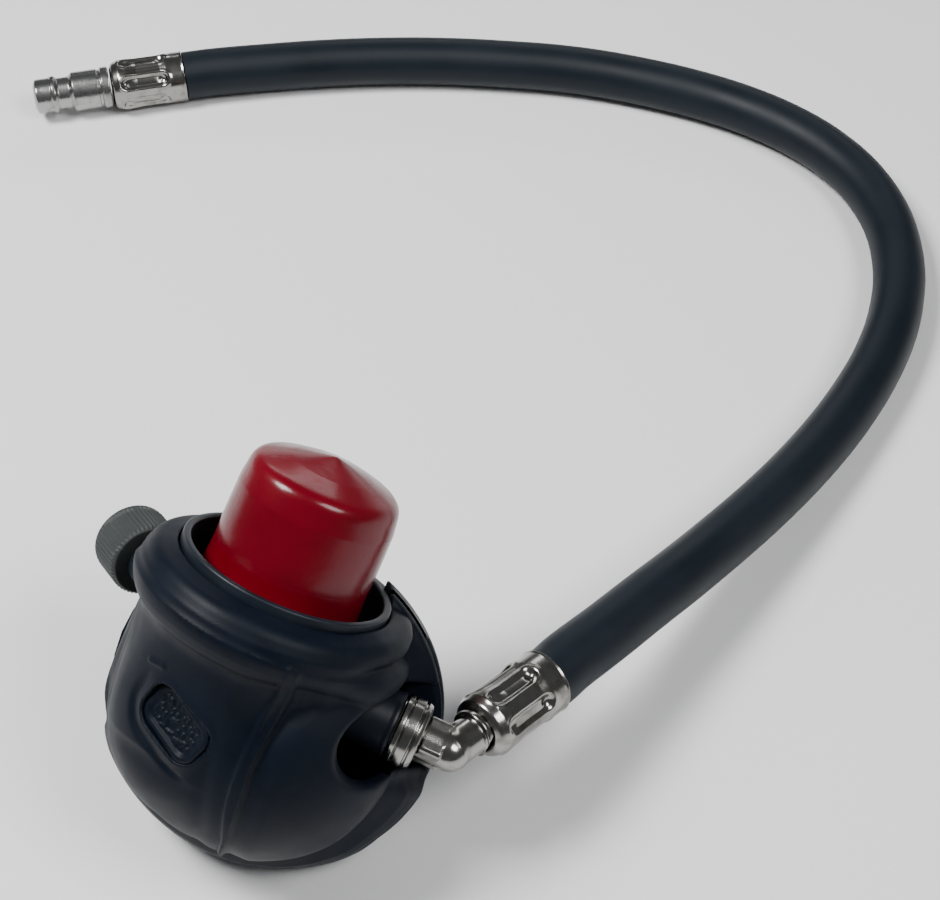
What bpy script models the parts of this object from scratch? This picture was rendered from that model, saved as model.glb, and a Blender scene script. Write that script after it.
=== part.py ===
"""Demand valve of a breathing apparatus, with its supply hose, coupling plug and dust cap.

The valve lies on the rim and back of its rear cover. Its pieces are placed in the valve's own
frame, an empty: X runs along the inlet towards the hose, -Y out of the front and Z out of the
mask port. "Depth" below is the distance in front of the drum centre, so along -Y. Every size is
in millimetres and every angle in degrees; the helpers turn them into metres and radians.
"""
from math import ceil, cos, pi, radians, sin, sqrt

import bmesh
import bpy
from mathutils import Vector

MM = 0.001
GAP = 0.3  # between pieces that touch
SEAL_GAP = 0.15  # between a seal and the walls it presses on
STEPS = 40  # facets round the large turned pieces
SMALL_STEPS = 24  # facets round the small ones
WELD = 0.01  # corners closer than this are one
EDGE = 0.4  # small chamfer on turned pieces
OVER = 5.0  # how far a cutter runs past the face it opens
FAR = 60.0  # beyond every side of the valve
SPARE = 1.0  # how far a blank stands past the face that a cutter gives it
SHARP = 35  # degrees between faces that meet in a sharp edge
RING_STEPS = 8  # facets round an O-ring's section
PIN_STEPS = 12  # facets round a pin, a screw or a hole for one
STEM_STEPS = 16  # facets round a stem

# The valve's frame on the floor: its drum centre, and its turns about X, Y and Z.
VALVE_AT = (-13.75, -9.21, 38.38)
VALVE_TURN = (-37.61, 15.24, -19.70)
FRONT_TURN = (90, 0, 0)  # object Z runs out of the front
INLET_TURN = (0, 90, 0)  # object Z runs towards the hose

# Rear cover: a cone with a flat back and a thin rim flange.
RIM_R = 37.3
RIM_FRONT = -12.1
RIM_THICK = 2.0
FLANGE_WIDTH = 6.8
BACK_CONE_R = RIM_R - FLANGE_WIDTH  # at the flange
BACK_TAPER = 4.5
BACK_R = BACK_CONE_R - BACK_TAPER
BACK_DEPTH = -29.5
COVER_WALL = 2.0

# Rubber boot: a ball-like front on a skirt that runs out to the rim.
BOOT_BASE = -10.1
BOOT_BALL = ((0, 25), (8, 24.4), (14.5, 22.6), (20, 19.3), (24.5, 14.8), (27.6, 9.5), (29.6, 3.5), (30.2, 0.4))
BOOT_SKIRT = ((RIM_R - 4.3, -3.6), (RIM_R - 1.7, -7), (RIM_R - 0.2, -8.2))
BOOT_LIP_LOW = -9.5
BOOT_HOLLOW = ((0, 23), (7.6, 22.4), (13.6, 20.6), (18.6, 17.6), (22.8, 13.7), (25.6, 9), (28.2, 0.4), (29.8, -5))
BOOT_HOLLOW_R = 31.5  # at the base

# Sleeve in the collar: every radius of the port follows from it.
SLEEVE_R = 23.2
SLEEVE_WALL = 1.5
SLEEVE_FOOT = 2.7
SLEEVE_SEAT_R = SLEEVE_R - SLEEVE_WALL - SLEEVE_FOOT
SLEEVE_ROOM = 0.4  # between sleeve and collar, and sleeve and connector
COLLAR_WIDTH = 6.7
COLLAR_BAND_R = SLEEVE_R + COLLAR_WIDTH
COLLAR_BASE_R = COLLAR_BAND_R - 1.6
COLLAR_TOP_R = COLLAR_BAND_R - 2.0

# Neck under the collar: a frustum on the port axis, shared by boot and rear cover.
PORT_X = -7.8
NECK_LOW = -6.0
NECK_TOP = 20.7
NECK_STEP = 0.7  # inside the collar's base
NECK_FLARE = 7.0
NECK_TOP_R = COLLAR_BASE_R - NECK_STEP
NECK_LOW_R = NECK_TOP_R - NECK_FLARE
NECK_WALL = 2.0
NECK_OPEN = 3.0  # how far its hollow runs out above it

# Heights of the collar ring and the sleeve, from the neck's top.
COLLAR_SHOULDER = (COLLAR_BAND_R - 0.5, NECK_TOP + 2.3)  # radius, z
COLLAR_BAND_Z = NECK_TOP + 6.3
COLLAR_LIP = NECK_TOP + 8.5
COLLAR_TOP = NECK_TOP + 10.1
SLEEVE_TOP = NECK_TOP + 13.0
WEB = 1.4  # thickness of the two flanges on the deck

# Mask connector under the cap, and the cap.
CONNECTOR_R = 15.2
CONNECTOR_WALL = 3.0
CONNECTOR_BORE = CONNECTOR_R - CONNECTOR_WALL
CONNECTOR_TOP = NECK_TOP + 31.8
CONNECTOR_GROOVE_Z = CONNECTOR_TOP - 6.5
CONNECTOR_SEAL = 0.75  # half the thickness of its O-ring
CONNECTOR_EDGE = 0.5
CAP_LOW = NECK_TOP + 3.8
CAP_TOP_R = CONNECTOR_R + 1.7
CAP_LOW_R = CAP_TOP_R + 1.0
CAP_SHOULDER = CONNECTOR_TOP + 2.1
CAP_APEX = CAP_SHOULDER + 5.2
CAP_WALL = 1.2
CAP_ROUND = 0.8
CAP_DISH = 0.2  # extra wall at the apex

# Housing: a drum under the front, a carrier plate, a deck for the port and two bosses.
DRUM_X = -6.0
DRUM_R = 17.8
DRUM_WALL = 1.6
DRUM_FRONT = 9.0
DRUM_BACK = -11.6
PLATE_R = RIM_R - 0.9
PLATE_FRONT = -10.4
PLATE_THICK = 1.4
DECK_ROOM = 1.4  # inside the neck
DECK_R = NECK_TOP_R - NECK_WALL - DECK_ROOM
DECK_THICK = 2.0
PASSAGE_R = 8.2
PASSAGE_FLOOR = 3.0  # above the block's underside
BLOCK_HALF_X = 12.0
BLOCK_BACK = -11.0
BLOCK_FRONT = 8.7
BLOCK_LOW = 5.0
SCREW_ANGLES = (-170, -116, -26, 28)
SCREW_CIRCLE = RIM_R - FLANGE_WIDTH / 2
SCREW_HEAD_R = 2.3
SCREW_HEAD = 1.6
SCREW_R = 1.2

# Front: diaphragm, its plate, the hard cover and the push pad.
DIAPHRAGM_THICK = 1.0
DIAPHRAGM_R = 17.5
DISC_R = 14.2
DISC_THICK = 1.0
COVER_R = 17.2
COVER_FLANGE = 1.4
DOME_RISE = ((14.0, 1.6), (9.0, 2.8), (0.0, 3.2))
DOME_WALL = 1.5
PAD_AT = (-14.7, 21.6, 0.8)  # x, depth, z of its face
PAD_TILT = 24.0
PAD_ROLL = -20.0
PAD_HALF_LONG = 7.8
PAD_HALF_SHORT = 5.3
PAD_CORNER = 3.6
PAD_THICK = 1.8
PAD_ROOM = 0.6  # round the pad, in the boot
PAD_HOLE = (-8.0, 4.0)  # how deep and how high the boot is open there
PLUNGER_R = 3.0
GUIDE_R = 5.4
GUIDE_TOP = 6.9  # below the pad's face, along its axis
GUIDE_LENGTH = 2.0
AIR_HOLE_R = 1.3
AIR_HOLE_CIRCLE = 11.4
AIR_HOLE_ANGLES = (-80, -30, 30, 80)
PLUNGER_TIP_ANGLES = (75, 60, 40, 20)

# Inlet: barrel, piston valve and lever, on an axis along X.
INLET_Z = 11.4
INLET_DEPTH = 0.3
BARREL_R = 5.0
BOSS_R = BARREL_R + 2.0
BOSS_END = 25.9
NOTCH_R = BOSS_R + 2.0  # opening in the boot round the boss
NOTCH_AT = (26.0, 11.0)  # x, z of its centre
NOTCH_DEPTH = -8.5
BARREL_INNER = -2.0
BARREL_OUTER = 29.5
BARREL_END_WALL = 1.4
BARREL_BORE = BARREL_R - 1.8
SOCKET_R = BARREL_R - 1.0
SOCKET_FROM = 17.5
PISTON_R = BARREL_BORE - GAP
PISTON_BACK = 6.0
PISTON_FACE = 13.4
STEM_R = 1.2
STEM_HEAD_R = 1.9
STEM_HEAD = 1.0
SEAT_LENGTH = 2.8
ORIFICE_R = 1.0
FILTER_LENGTH = 2.2
PIVOT_X = -4.0
PIVOT_DROP = 3.5  # from the inlet axis to the lever's pivot
PIN_R = 0.7
PIN_HALF = 3.9
HUB_R = 1.6
HUB_HALF = 2.5
PRONG_HALF = 0.6
PRONG_SLOT = 1.5
PRONG_REACH = 3.7  # above the inlet axis
TIP_X = -13.0
TIP_R = 0.9
ARM_THICK = 1.4
ARM_LOW = -2.5  # across the inlet axis, towards the drum's centre
ARM_HIGH = 0.4
EAR_LOW = 2.8
EAR_HIGH = 3.7
EAR_HALF = 1.7
BRIDGE = 1.1  # thickness of the lever's bridge
PISTON_PLAY = 0.5  # between the prongs and the stem's head

# Springs: mean radius, wire radius and turns.
BIAS_SPRING = (4.0, 0.5, 5)
PURGE_SPRING = (4.1, 0.35, 2)
PISTON_SPRING = (2.2, 0.25, 4)
SPRING_STEPS = 10  # points in a turn

# Knob: its centre, its yaw from the rear, and what carries it.
KNOB_AT = (-41.0, -20.0, 15.2)  # x, depth, z
KNOB_YAW = 41.3
KNOB_R = 8.7
KNOB_HALF = 5.25
BUSH_R = 5.2
BUSH_LENGTH = 10.2
BUSH_ROOM = 0.8
BOSS_ROOM = 9.0  # depth over which the covers clear the boss under the bush
KNOB_STEM_R = 1.5
KNOB_BORE_R = 2.5
KNOB_BOSS_R = 3.9
KNOB_BOSS_LENGTH = 17.7
STEM_SOCKET = 4.0
KNOB_EDGE = 0.8
KNOB_BOSS_FLOOR = 1.5
KNOB_STEM_SHORT = 2.0  # from the boss's end to the stem's
KNOB_SEAL_AT = 3.0  # below the bush
KNOB_SEAL_SQUEEZE = 0.1

# Swivel nut, elbow and hose end.
HOSE_R = 7.2
NUT_FROM = 26.4
NUT_LENGTH = 5.9
NUT_R = BARREL_R + 2.6
NUT_LIP = 0.9
NUT_GROOVE = 0.5
NUT_GROOVE_HALF = 0.3
NUT_GROOVES = (3.0, 2.0)  # from the inner end, outer groove first
ELBOW_R = 4.4
ELBOW_FLANGE_R = BARREL_R + 1.0
ELBOW_FLANGE = 1.1
ELBOW_CORNER = 38.9
ELBOW_KNUCKLE_R = 4.9
ELBOW_BORE = 1.8
ELBOW_BEND = 64.2
ELBOW_ROLL = 30.7
ELBOW_ARM = 8.3
FLAT_HALF = 4.1
FLAT_LENGTH = 4.2
FLAT_TURN = 45  # round the inlet
KNUCKLE_STEPS = 10
NIPPLE_R = SOCKET_R - 0.4
NIPPLE_FROM = 20.9
NIPPLE_GROOVE = 24.6
NIPPLE_SEAL = 0.45
TAIL_R = 2.6
FERRULE_BORE = TAIL_R + GAP
FERRULE_SHAPE = (
    (HOSE_R - 1.0, 0), (HOSE_R - 0.2, 0.9), (HOSE_R + 0.3, 2.4), (HOSE_R + 0.3, 4.0),
    (HOSE_R - 0.05, 5.0), (HOSE_R - 0.05, 15.0), (HOSE_R + 0.3, 16.2), (HOSE_R + 0.3, 22.2),
)
FERRULE_LENGTH = FERRULE_SHAPE[-1][1]
SWEEP_R = 20.0  # how wide the boot's lip is cut back for the ferrule to turn past it
TAIL_SHORT = 0.5  # from a tail's end to the ferrule's mouth

# Hose: its route on the floor from the first ferrule to the last.
HOSE_SPACING = 22.0
HOSE_LEAD = 3.0  # straight length at each ferrule
HOSE_ROUTE = (
    (52.5, 12.1, 28.6), (61.7, 22.1, 25.5), (71.0, 32.6, 22.3), (81.0, 43.5, 19.2), (91.0, 54.9, 16.1),
    (101.2, 66.8, 13.3), (111.4, 79.4, 10.8), (121.4, 92.8, 8.8), (130.8, 106.9, 7.6), (139.3, 121.9, 7.2),
    (146.1, 138.5, 7.2), (150.0, 157.0, 7.2), (149.6, 175.9, 7.2), (144.4, 193.0, 7.2), (135.5, 206.8, 7.2),
    (124.4, 217.6, 7.2), (111.9, 226.0, 7.2), (98.5, 232.6, 7.2), (84.7, 237.8, 7.2), (70.5, 242.0, 7.2),
    (56.0, 244.9, 7.2), (41.2, 246.6, 7.2), (26.4, 247.8, 7.2), (11.6, 248.2, 7.2), (-3.2, 247.8, 7.2),
    (-17.9, 246.7, 7.2), (-32.5, 244.9, 7.3), (-46.8, 242.7, 7.5),
)
PLUG_AT = (-57.0, 240.6, 7.5)  # mouth of the last ferrule
PLUG_YAW = 192.8
PLUG_PROFILE = (
    (6.2, 0), (6.2, 2.2), (5.7, 2.5), (5.7, 3.1), (5.9, 3.4), (5.9, 11.0), (4.8, 12.0), (4.8, 15.6),
    (5.5, 16.4), (5.5, 17.4), (5.2, 17.8), (5.2, 21.6), (4.2, 22.7),
)
PLUG_BORE = 1.8

MATERIALS = {
    "boot_rubber": ((0.012, 0.016, 0.024), 0.55, 0.0),
    "dark_plastic": ((0.014, 0.016, 0.021), 0.45, 0.0),
    "cap_vinyl": ((0.42, 0.010, 0.022), 0.25, 0.0),
    "connector_plastic": ((0.03, 0.03, 0.035), 0.4, 0.0),
    "knob_plastic": ((0.075, 0.08, 0.072), 0.5, 0.0),
    "plated_brass": ((0.62, 0.60, 0.56), 0.25, 1.0),
    "brass": ((0.72, 0.52, 0.24), 0.3, 1.0),
    "steel": ((0.60, 0.60, 0.60), 0.3, 1.0),
    "plug_steel": ((0.60, 0.60, 0.60), 0.3, 1.0),
    "hose_rubber": ((0.018, 0.024, 0.032), 0.5, 0.0),
    "seal_rubber": ((0.02, 0.02, 0.02), 0.6, 0.0),
    "silicone": ((0.45, 0.45, 0.43), 0.5, 0.0),
}


def clear_scene():
    """Remove whatever the scene holds."""
    for obj in list(bpy.data.objects):
        bpy.data.objects.remove(obj, do_unlink=True)


def new_collection(name):
    """Return a new collection of this name, linked to the scene."""
    collection = bpy.data.collections.new(name)
    bpy.context.scene.collection.children.link(collection)
    return collection


def make_materials():
    """Return one Principled material for each entry of MATERIALS."""
    made = {}
    for name, (colour, roughness, metallic) in MATERIALS.items():
        material = bpy.data.materials.new(name)
        material.use_nodes = True
        shader = material.node_tree.nodes["Principled BSDF"]
        shader.inputs["Base Color"].default_value = (*colour, 1.0)
        shader.inputs["Roughness"].default_value = roughness
        shader.inputs["Metallic"].default_value = metallic
        made[name] = material
    return made


def put(obj, frame, at=(0, 0, 0), turn=(0, 0, 0)):
    """Place an object in a frame: at in millimetres, turn in degrees."""
    obj.parent = frame
    obj.location = Vector(at) * MM
    obj.rotation_euler = [radians(angle) for angle in turn]
    return obj


def empty(name, frame, at, turn):
    """Return a new empty, the frame of the pieces placed in it."""
    obj = bpy.data.objects.new(name, None)
    bpy.context.scene.collection.objects.link(obj)
    return put(obj, frame, at, turn)


def mesh_object(name, bm):
    """Return an object that holds the bmesh, with smooth sides and sharp corners."""
    mesh = bpy.data.meshes.new(name)
    bm.to_mesh(mesh)
    bm.free()
    if mesh.polygons:
        mesh.shade_smooth()
        mesh.set_sharp_from_angle(angle=radians(SHARP))
    obj = bpy.data.objects.new(name, mesh)
    bpy.context.scene.collection.objects.link(obj)
    return obj


def turned(name, profile, steps=STEPS):
    """Return a turned solid about Z. The profile lists radius and height, outer side downwards.

    It starts and ends on the axis, or it is a closed loop where the piece has a bore.
    """
    bm = bmesh.new()
    verts = [bm.verts.new((radius * MM, 0, height * MM)) for radius, height in profile]
    for first, second in zip(verts, verts[1:]):
        bm.edges.new((first, second))
    if profile[0][0] > 0:
        bm.edges.new((verts[-1], verts[0]))
    obj = mesh_object(name, bm)
    screw = obj.modifiers.new("turn", "SCREW")
    screw.steps = steps
    screw.render_steps = steps
    screw.use_merge_vertices = True
    screw.merge_threshold = 1e-6
    screw.use_smooth_shade = True
    return obj


def rod(name, radius, low, high, steps=SMALL_STEPS):
    """Return a solid cylinder about Z."""
    return turned(name, ((0, high), (radius, high), (radius, low), (0, low)), steps)


def pipe(name, radius, bore, low, high, steps=SMALL_STEPS):
    """Return a tube about Z."""
    return turned(name, ((radius, high), (radius, low), (bore, low), (bore, high)), steps)


def torus_profile(radius, half, height, count=10):
    """Return the closed profile of an O-ring, outer side downwards."""
    angles = [pi / 2 - 2 * pi * index / count for index in range(count)]
    return [(radius + half * cos(angle), height + half * sin(angle)) for angle in angles]


def box(name, low, high):
    """Return a box between two corners."""
    bm = bmesh.new()
    bmesh.ops.create_cube(bm, size=1)
    size = [(b - a) * MM for a, b in zip(low, high)]
    centre = [(a + b) / 2 * MM for a, b in zip(low, high)]
    bmesh.ops.scale(bm, vec=size, verts=bm.verts)
    bmesh.ops.translate(bm, vec=centre, verts=bm.verts)
    return mesh_object(name, bm)


def curve_to_mesh(obj):
    """Replace a curve by the mesh it makes, with its caps welded, and return that object."""
    bpy.context.view_layer.update()
    depsgraph = bpy.context.evaluated_depsgraph_get()
    mesh = bpy.data.meshes.new_from_object(obj.evaluated_get(depsgraph))
    bm = bmesh.new()
    bm.from_mesh(mesh)
    bpy.data.meshes.remove(mesh)
    bmesh.ops.remove_doubles(bm, verts=bm.verts, dist=1e-7)
    name = obj.name
    matrix = obj.matrix_world.copy()
    bpy.data.objects.remove(obj, do_unlink=True)
    solid = mesh_object(name, bm)
    solid.matrix_world = matrix
    return solid


def prism(name, outline, low, high):
    """Return a flat outline in X and Y made solid between two heights on Z."""
    curve = bpy.data.curves.new(name, "CURVE")
    curve.dimensions = "2D"
    curve.fill_mode = "BOTH"
    curve.extrude = (high - low) / 2 * MM
    spline = curve.splines.new("POLY")
    spline.points.add(len(outline) - 1)
    spline.use_cyclic_u = True
    for point, (x, y) in zip(spline.points, outline):
        point.co = (x * MM, y * MM, 0, 1)
    obj = bpy.data.objects.new(name, curve)
    bpy.context.scene.collection.objects.link(obj)
    solid = curve_to_mesh(obj)
    for vertex in solid.data.vertices:
        vertex.co.z += (low + high) / 2 * MM
    return solid


def wire(name, points, radius, resolution=2):
    """Return a round wire through the points as a mesh with closed ends."""
    curve = bpy.data.curves.new(name, "CURVE")
    curve.dimensions = "3D"
    curve.bevel_depth = radius * MM
    curve.bevel_resolution = resolution
    curve.use_fill_caps = True
    spline = curve.splines.new("POLY")
    spline.points.add(len(points) - 1)
    for point, place in zip(spline.points, points):
        point.co = (*(Vector(place) * MM), 1)
    obj = bpy.data.objects.new(name, curve)
    bpy.context.scene.collection.objects.link(obj)
    return obj


def spring(name, shape, low, high):
    """Return a coil spring about Z between two heights. The shape is its entry above."""
    radius, half, turns = shape
    count = turns * SPRING_STEPS
    rise = high - low - 2 * half
    points = []
    for index in range(count + 1):
        angle = 2 * pi * index / SPRING_STEPS
        height = low + half + rise * index / count
        points.append((radius * cos(angle), radius * sin(angle), height))
    return wire(name, points, half)


def arc(centre, radius, start, end, count):
    """Return points on an arc in X and Y, both ends included."""
    angles = [radians(start + (end - start) * index / count) for index in range(count + 1)]
    return [(centre[0] + radius * cos(angle), centre[1] + radius * sin(angle)) for angle in angles]


def rounded_rectangle(half_x, half_y, corner, count=5):
    """Return the outline of a rectangle with round corners."""
    outline = []
    for sign_x, sign_y, start in ((1, 1, 0), (-1, 1, 90), (-1, -1, 180), (1, -1, 270)):
        centre = (sign_x * (half_x - corner), sign_y * (half_y - corner))
        outline += arc(centre, corner, start, start + 90, count)
    return outline


def neck_profile(shrink, low, high):
    """Return the neck's frustum as a turned profile, its side moved in by shrink."""
    slope = (NECK_TOP_R - NECK_LOW_R) / (NECK_TOP - NECK_LOW)

    def radius(height):
        return NECK_LOW_R + slope * (height - NECK_LOW) - shrink * sqrt(1 + slope * slope)

    return ((0, high), (radius(high), high), (radius(low), low), (0, low))


class Builder:
    """Holds the collections, the frames and the materials while the pieces are made."""

    def __init__(self):
        self.parts = new_collection("demand_valve")
        self.cutters = new_collection("cutters")
        self.materials = make_materials()
        self.valve = empty("valve_frame", None, VALVE_AT, VALVE_TURN)
        self.port = empty("port_frame", self.valve, (PORT_X, 0, 0), (0, 0, 0))
        self.drum = empty("drum_frame", self.valve, (DRUM_X, 0, 0), FRONT_TURN)
        self.inlet = empty("inlet_frame", self.valve, (0, -INLET_DEPTH, INLET_Z), INLET_TURN)
        self.arm = empty("arm_frame", self.inlet, (0, 0, ELBOW_CORNER), (0, ELBOW_BEND, ELBOW_ROLL + 90))
        knob_at = (KNOB_AT[0], -KNOB_AT[1], KNOB_AT[2])
        self.knob = empty("knob_frame", self.valve, knob_at, (-90, 0, KNOB_YAW))
        self.pad = empty("pad_frame", self.valve, (PAD_AT[0], -PAD_AT[1], PAD_AT[2]), (90, 0, -PAD_TILT))
        self.pivot = empty("pivot_frame", self.valve, (PIVOT_X, -INLET_DEPTH + PIVOT_DROP, INLET_Z), (0, 0, 0))
        self.plug = empty("plug_frame", None, PLUG_AT, (0, 90, PLUG_YAW))

    def piece(self, obj, material):
        """File an object as a piece of the part and give it its material."""
        for collection in list(obj.users_collection):
            collection.objects.unlink(obj)
        self.parts.objects.link(obj)
        if obj.modifiers:
            weld = obj.modifiers.new("weld", "WELD")
            weld.merge_threshold = WELD * MM
        obj.data.materials.clear()
        obj.data.materials.append(self.materials[material])
        return obj

    def tool(self, obj):
        """File an object as a cutter or a shape to be joined on."""
        for collection in list(obj.users_collection):
            collection.objects.unlink(obj)
        self.cutters.objects.link(obj)
        obj.hide_render = True
        obj.display_type = "WIRE"
        return obj

    def boolean(self, obj, other, operation):
        """Join another shape to an object, or cut it away."""
        modifier = obj.modifiers.new(other.name, "BOOLEAN")
        modifier.operation = operation
        modifier.solver = "EXACT"
        modifier.object = self.tool(other)

    def join(self, obj, *others):
        """Join each of the other shapes to the object."""
        for other in others:
            self.boolean(obj, other, "UNION")

    def cut(self, obj, *others):
        """Cut each of the other shapes out of the object."""
        for other in others:
            self.boolean(obj, other, "DIFFERENCE")


def port_clearance(build, name, low=NECK_TOP):
    """Return the space over the neck, or over the deck, that the collar ring takes."""
    return put(rod(name, COLLAR_BAND_R + GAP, low, COLLAR_TOP + 4 * OVER, STEPS), build.port)


def neck_space(build, name):
    """Return the hollow of the neck."""
    profile = neck_profile(NECK_WALL, NECK_LOW + NECK_WALL, NECK_TOP + NECK_OPEN)
    return put(turned(name, profile), build.port)


def bush_clearance(build, name, boss_depth=0):
    """Return the space round the knob's bush, and round some depth of the boss it stands on."""
    step = -KNOB_HALF - BUSH_LENGTH - GAP
    bush_r = BUSH_R + BUSH_ROOM
    boss_r = KNOB_BOSS_R + GAP
    profile = ((0, KNOB_HALF), (bush_r, KNOB_HALF), (bush_r, step), (boss_r, step),
               (boss_r, step - boss_depth), (0, step - boss_depth))
    if not boss_depth:
        profile = profile[:3] + ((0, step),)
    return put(turned(name, profile, SMALL_STEPS), build.knob)


def make_housing(build):
    """The chassis: drum, carrier plate, port deck and block, inlet boss and knob boss."""
    back = PLATE_FRONT - PLATE_THICK
    housing = put(rod("valve_housing", PLATE_R, back, PLATE_FRONT, STEPS), build.valve, turn=FRONT_TURN)
    deck_top = NECK_TOP - WEB + GAP
    build.cut(housing, port_clearance(build, "plate_port_space", deck_top - DECK_THICK / 2))
    deck = put(rod("port_deck", DECK_R, deck_top - DECK_THICK, deck_top, STEPS), build.port)
    block_low = (PORT_X - BLOCK_HALF_X, -BLOCK_FRONT, BLOCK_LOW)
    block_high = (PORT_X + BLOCK_HALF_X, -BLOCK_BACK, deck_top - DECK_THICK / 2)
    block = put(box("port_block", block_low, block_high), build.valve)
    drum = put(rod("drum", DRUM_R, DRUM_BACK, DRUM_FRONT, STEPS), build.drum)
    boss = put(rod("inlet_boss", BOSS_R, 0, BOSS_END), build.inlet)
    boss_top = -KNOB_HALF - GAP - BUSH_LENGTH - GAP
    knob_boss = put(rod("knob_boss", KNOB_BOSS_R, boss_top - KNOB_BOSS_LENGTH, boss_top, STEM_STEPS), build.knob)
    build.join(housing, drum, block, deck, boss, knob_boss)
    drum_room = put(rod("drum_room", DRUM_R - DRUM_WALL, back + PLATE_THICK, DRUM_FRONT + OVER, STEPS), build.drum)
    passage = rod("port_passage", PASSAGE_R, BLOCK_LOW + PASSAGE_FLOOR, deck_top + OVER)
    put(passage, build.port, turn=(0, 0, 4))
    inlet_bore = put(rod("inlet_bore", BARREL_R + GAP, -OVER, BOSS_END + OVER), build.inlet, turn=(0, 0, 5))
    bore_low = boss_top - KNOB_BOSS_LENGTH + KNOB_BOSS_FLOOR
    knob_bore = rod("knob_bore", KNOB_BORE_R, bore_low, boss_top + OVER, STEM_STEPS)
    build.cut(housing, drum_room, passage, inlet_bore, put(knob_bore, build.knob))
    build.cut(housing, bush_clearance(build, "plate_bush_space"))
    build.cut(housing, *screw_holes(build, "plate_screw_hole"))
    return build.piece(housing, "dark_plastic")


def screw(build, name, angle, head_r, shank_r, shank_top):
    """Return one screw of the rear flange, at its angle on the screw circle."""
    flange_back = RIM_FRONT - RIM_THICK
    profile = ((0, shank_top), (shank_r, shank_top), (shank_r, flange_back - GAP),
               (head_r, flange_back - GAP), (head_r, flange_back - GAP - SCREW_HEAD),
               (0, flange_back - GAP - SCREW_HEAD))
    place = (SCREW_CIRCLE * cos(radians(angle)), 0, SCREW_CIRCLE * sin(radians(angle)))
    return put(turned(name, profile, PIN_STEPS), build.valve, place, FRONT_TURN)


def screw_holes(build, name):
    """Return the holes that the screws pass, through the flange and the carrier plate."""
    head = SCREW_R + 2 * GAP
    top = PLATE_FRONT + 1
    return [screw(build, "%s_%d" % (name, angle), angle, head, SCREW_R + GAP, top) for angle in SCREW_ANGLES]


def make_rear_cover(build):
    """The hard rear shell with its rim flange and the rear half of the neck."""
    flange_back = RIM_FRONT - RIM_THICK
    inner_r = BACK_CONE_R - COVER_WALL
    profile = ((0, RIM_FRONT + SPARE), (RIM_R - EDGE - SPARE, RIM_FRONT + SPARE), (RIM_R, RIM_FRONT - EDGE),
               (RIM_R, flange_back + EDGE), (RIM_R - EDGE, flange_back), (BACK_CONE_R, flange_back),
               (BACK_R, BACK_DEPTH), (0, BACK_DEPTH))
    cover = put(turned("rear_cover", profile), build.valve, turn=FRONT_TURN)
    shell = ((0, RIM_FRONT + OVER), (inner_r, RIM_FRONT + OVER), (inner_r, RIM_FRONT),
             (BACK_R - COVER_WALL, BACK_DEPTH + COVER_WALL), (0, BACK_DEPTH + COVER_WALL))
    neck = put(turned("rear_neck", neck_profile(0, NECK_LOW, NECK_TOP + SPARE)), build.port)
    neck_room = neck_space(build, "rear_neck_room")
    front = put(box("rear_front_space", (-FAR, -FAR, -FAR), (FAR, -RIM_FRONT, FAR)), build.valve)
    build.join(cover, neck)
    build.cut(cover, put(turned("rear_room", shell), build.valve, turn=FRONT_TURN), neck_room, front)
    build.cut(cover, port_clearance(build, "rear_port_space"), bush_clearance(build, "rear_bush_space", BOSS_ROOM))
    build.cut(cover, *screw_holes(build, "rear_screw_hole"))
    return build.piece(cover, "dark_plastic")


def make_boot(build):
    """The rubber front: ball, skirt and front half of the neck, with its openings."""
    lip = ((RIM_R, BOOT_LIP_LOW), (RIM_R, BOOT_BASE), (0, BOOT_BASE))
    boot = put(turned("rubber_boot", BOOT_BALL + BOOT_SKIRT + lip), build.valve, turn=FRONT_TURN)
    neck = put(turned("front_neck", neck_profile(0, NECK_LOW, NECK_TOP)), build.port)
    build.join(boot, neck)
    hollow_base = ((BOOT_HOLLOW_R, BOOT_BASE), (BOOT_HOLLOW_R, BOOT_BASE - OVER), (0, BOOT_BASE - OVER))
    hollow = put(turned("boot_room", BOOT_HOLLOW + hollow_base), build.valve, turn=FRONT_TURN)
    neck_room = neck_space(build, "front_neck_room")
    behind = put(box("boot_rear_space", (-FAR, -BOOT_BASE, -FAR), (FAR, FAR, FAR)), build.valve)
    build.cut(boot, hollow, neck_room, behind, port_clearance(build, "boot_port_space"))
    build.cut(boot, hose_notch(build), pad_prism(build, "boot_pad_hole", PAD_ROOM, *PAD_HOLE))
    build.cut(boot, bush_clearance(build, "boot_bush_space", BOSS_ROOM), hose_sweep(build))
    return build.piece(boot, "boot_rubber")


def hose_notch(build):
    """Return the round-ended opening at the inlet, seen from the front."""
    outline = arc(NOTCH_AT, NOTCH_R, 90, 270, PIN_STEPS)
    outline += [(FAR, NOTCH_AT[1] - NOTCH_R), (FAR, NOTCH_AT[1] + NOTCH_R)]
    return put(prism("hose_notch", outline, NOTCH_DEPTH, FAR), build.valve, turn=FRONT_TURN)


def hose_sweep(build):
    """Return the space outside the nearest that the ferrule comes to the boot as the hose turns."""
    lean = radians(ELBOW_BEND)
    nearest = min((ELBOW_ARM + GAP + height) * cos(lean) - radius * sin(lean) for radius, height in FERRULE_SHAPE)
    return put(rod("hose_sweep", SWEEP_R, ELBOW_CORNER + nearest - GAP, FAR, STEPS), build.inlet)


def pad_prism(build, name, grow, low, high):
    """Return the push pad's outline, grown all round, between two heights on its axis."""
    outline = rounded_rectangle(PAD_HALF_LONG + grow, PAD_HALF_SHORT + grow, PAD_CORNER + grow)
    turn = radians(PAD_ROLL)
    outline = [(x * cos(turn) - y * sin(turn), x * sin(turn) + y * cos(turn)) for x, y in outline]
    return put(prism(name, outline, low, high), build.pad)


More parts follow.
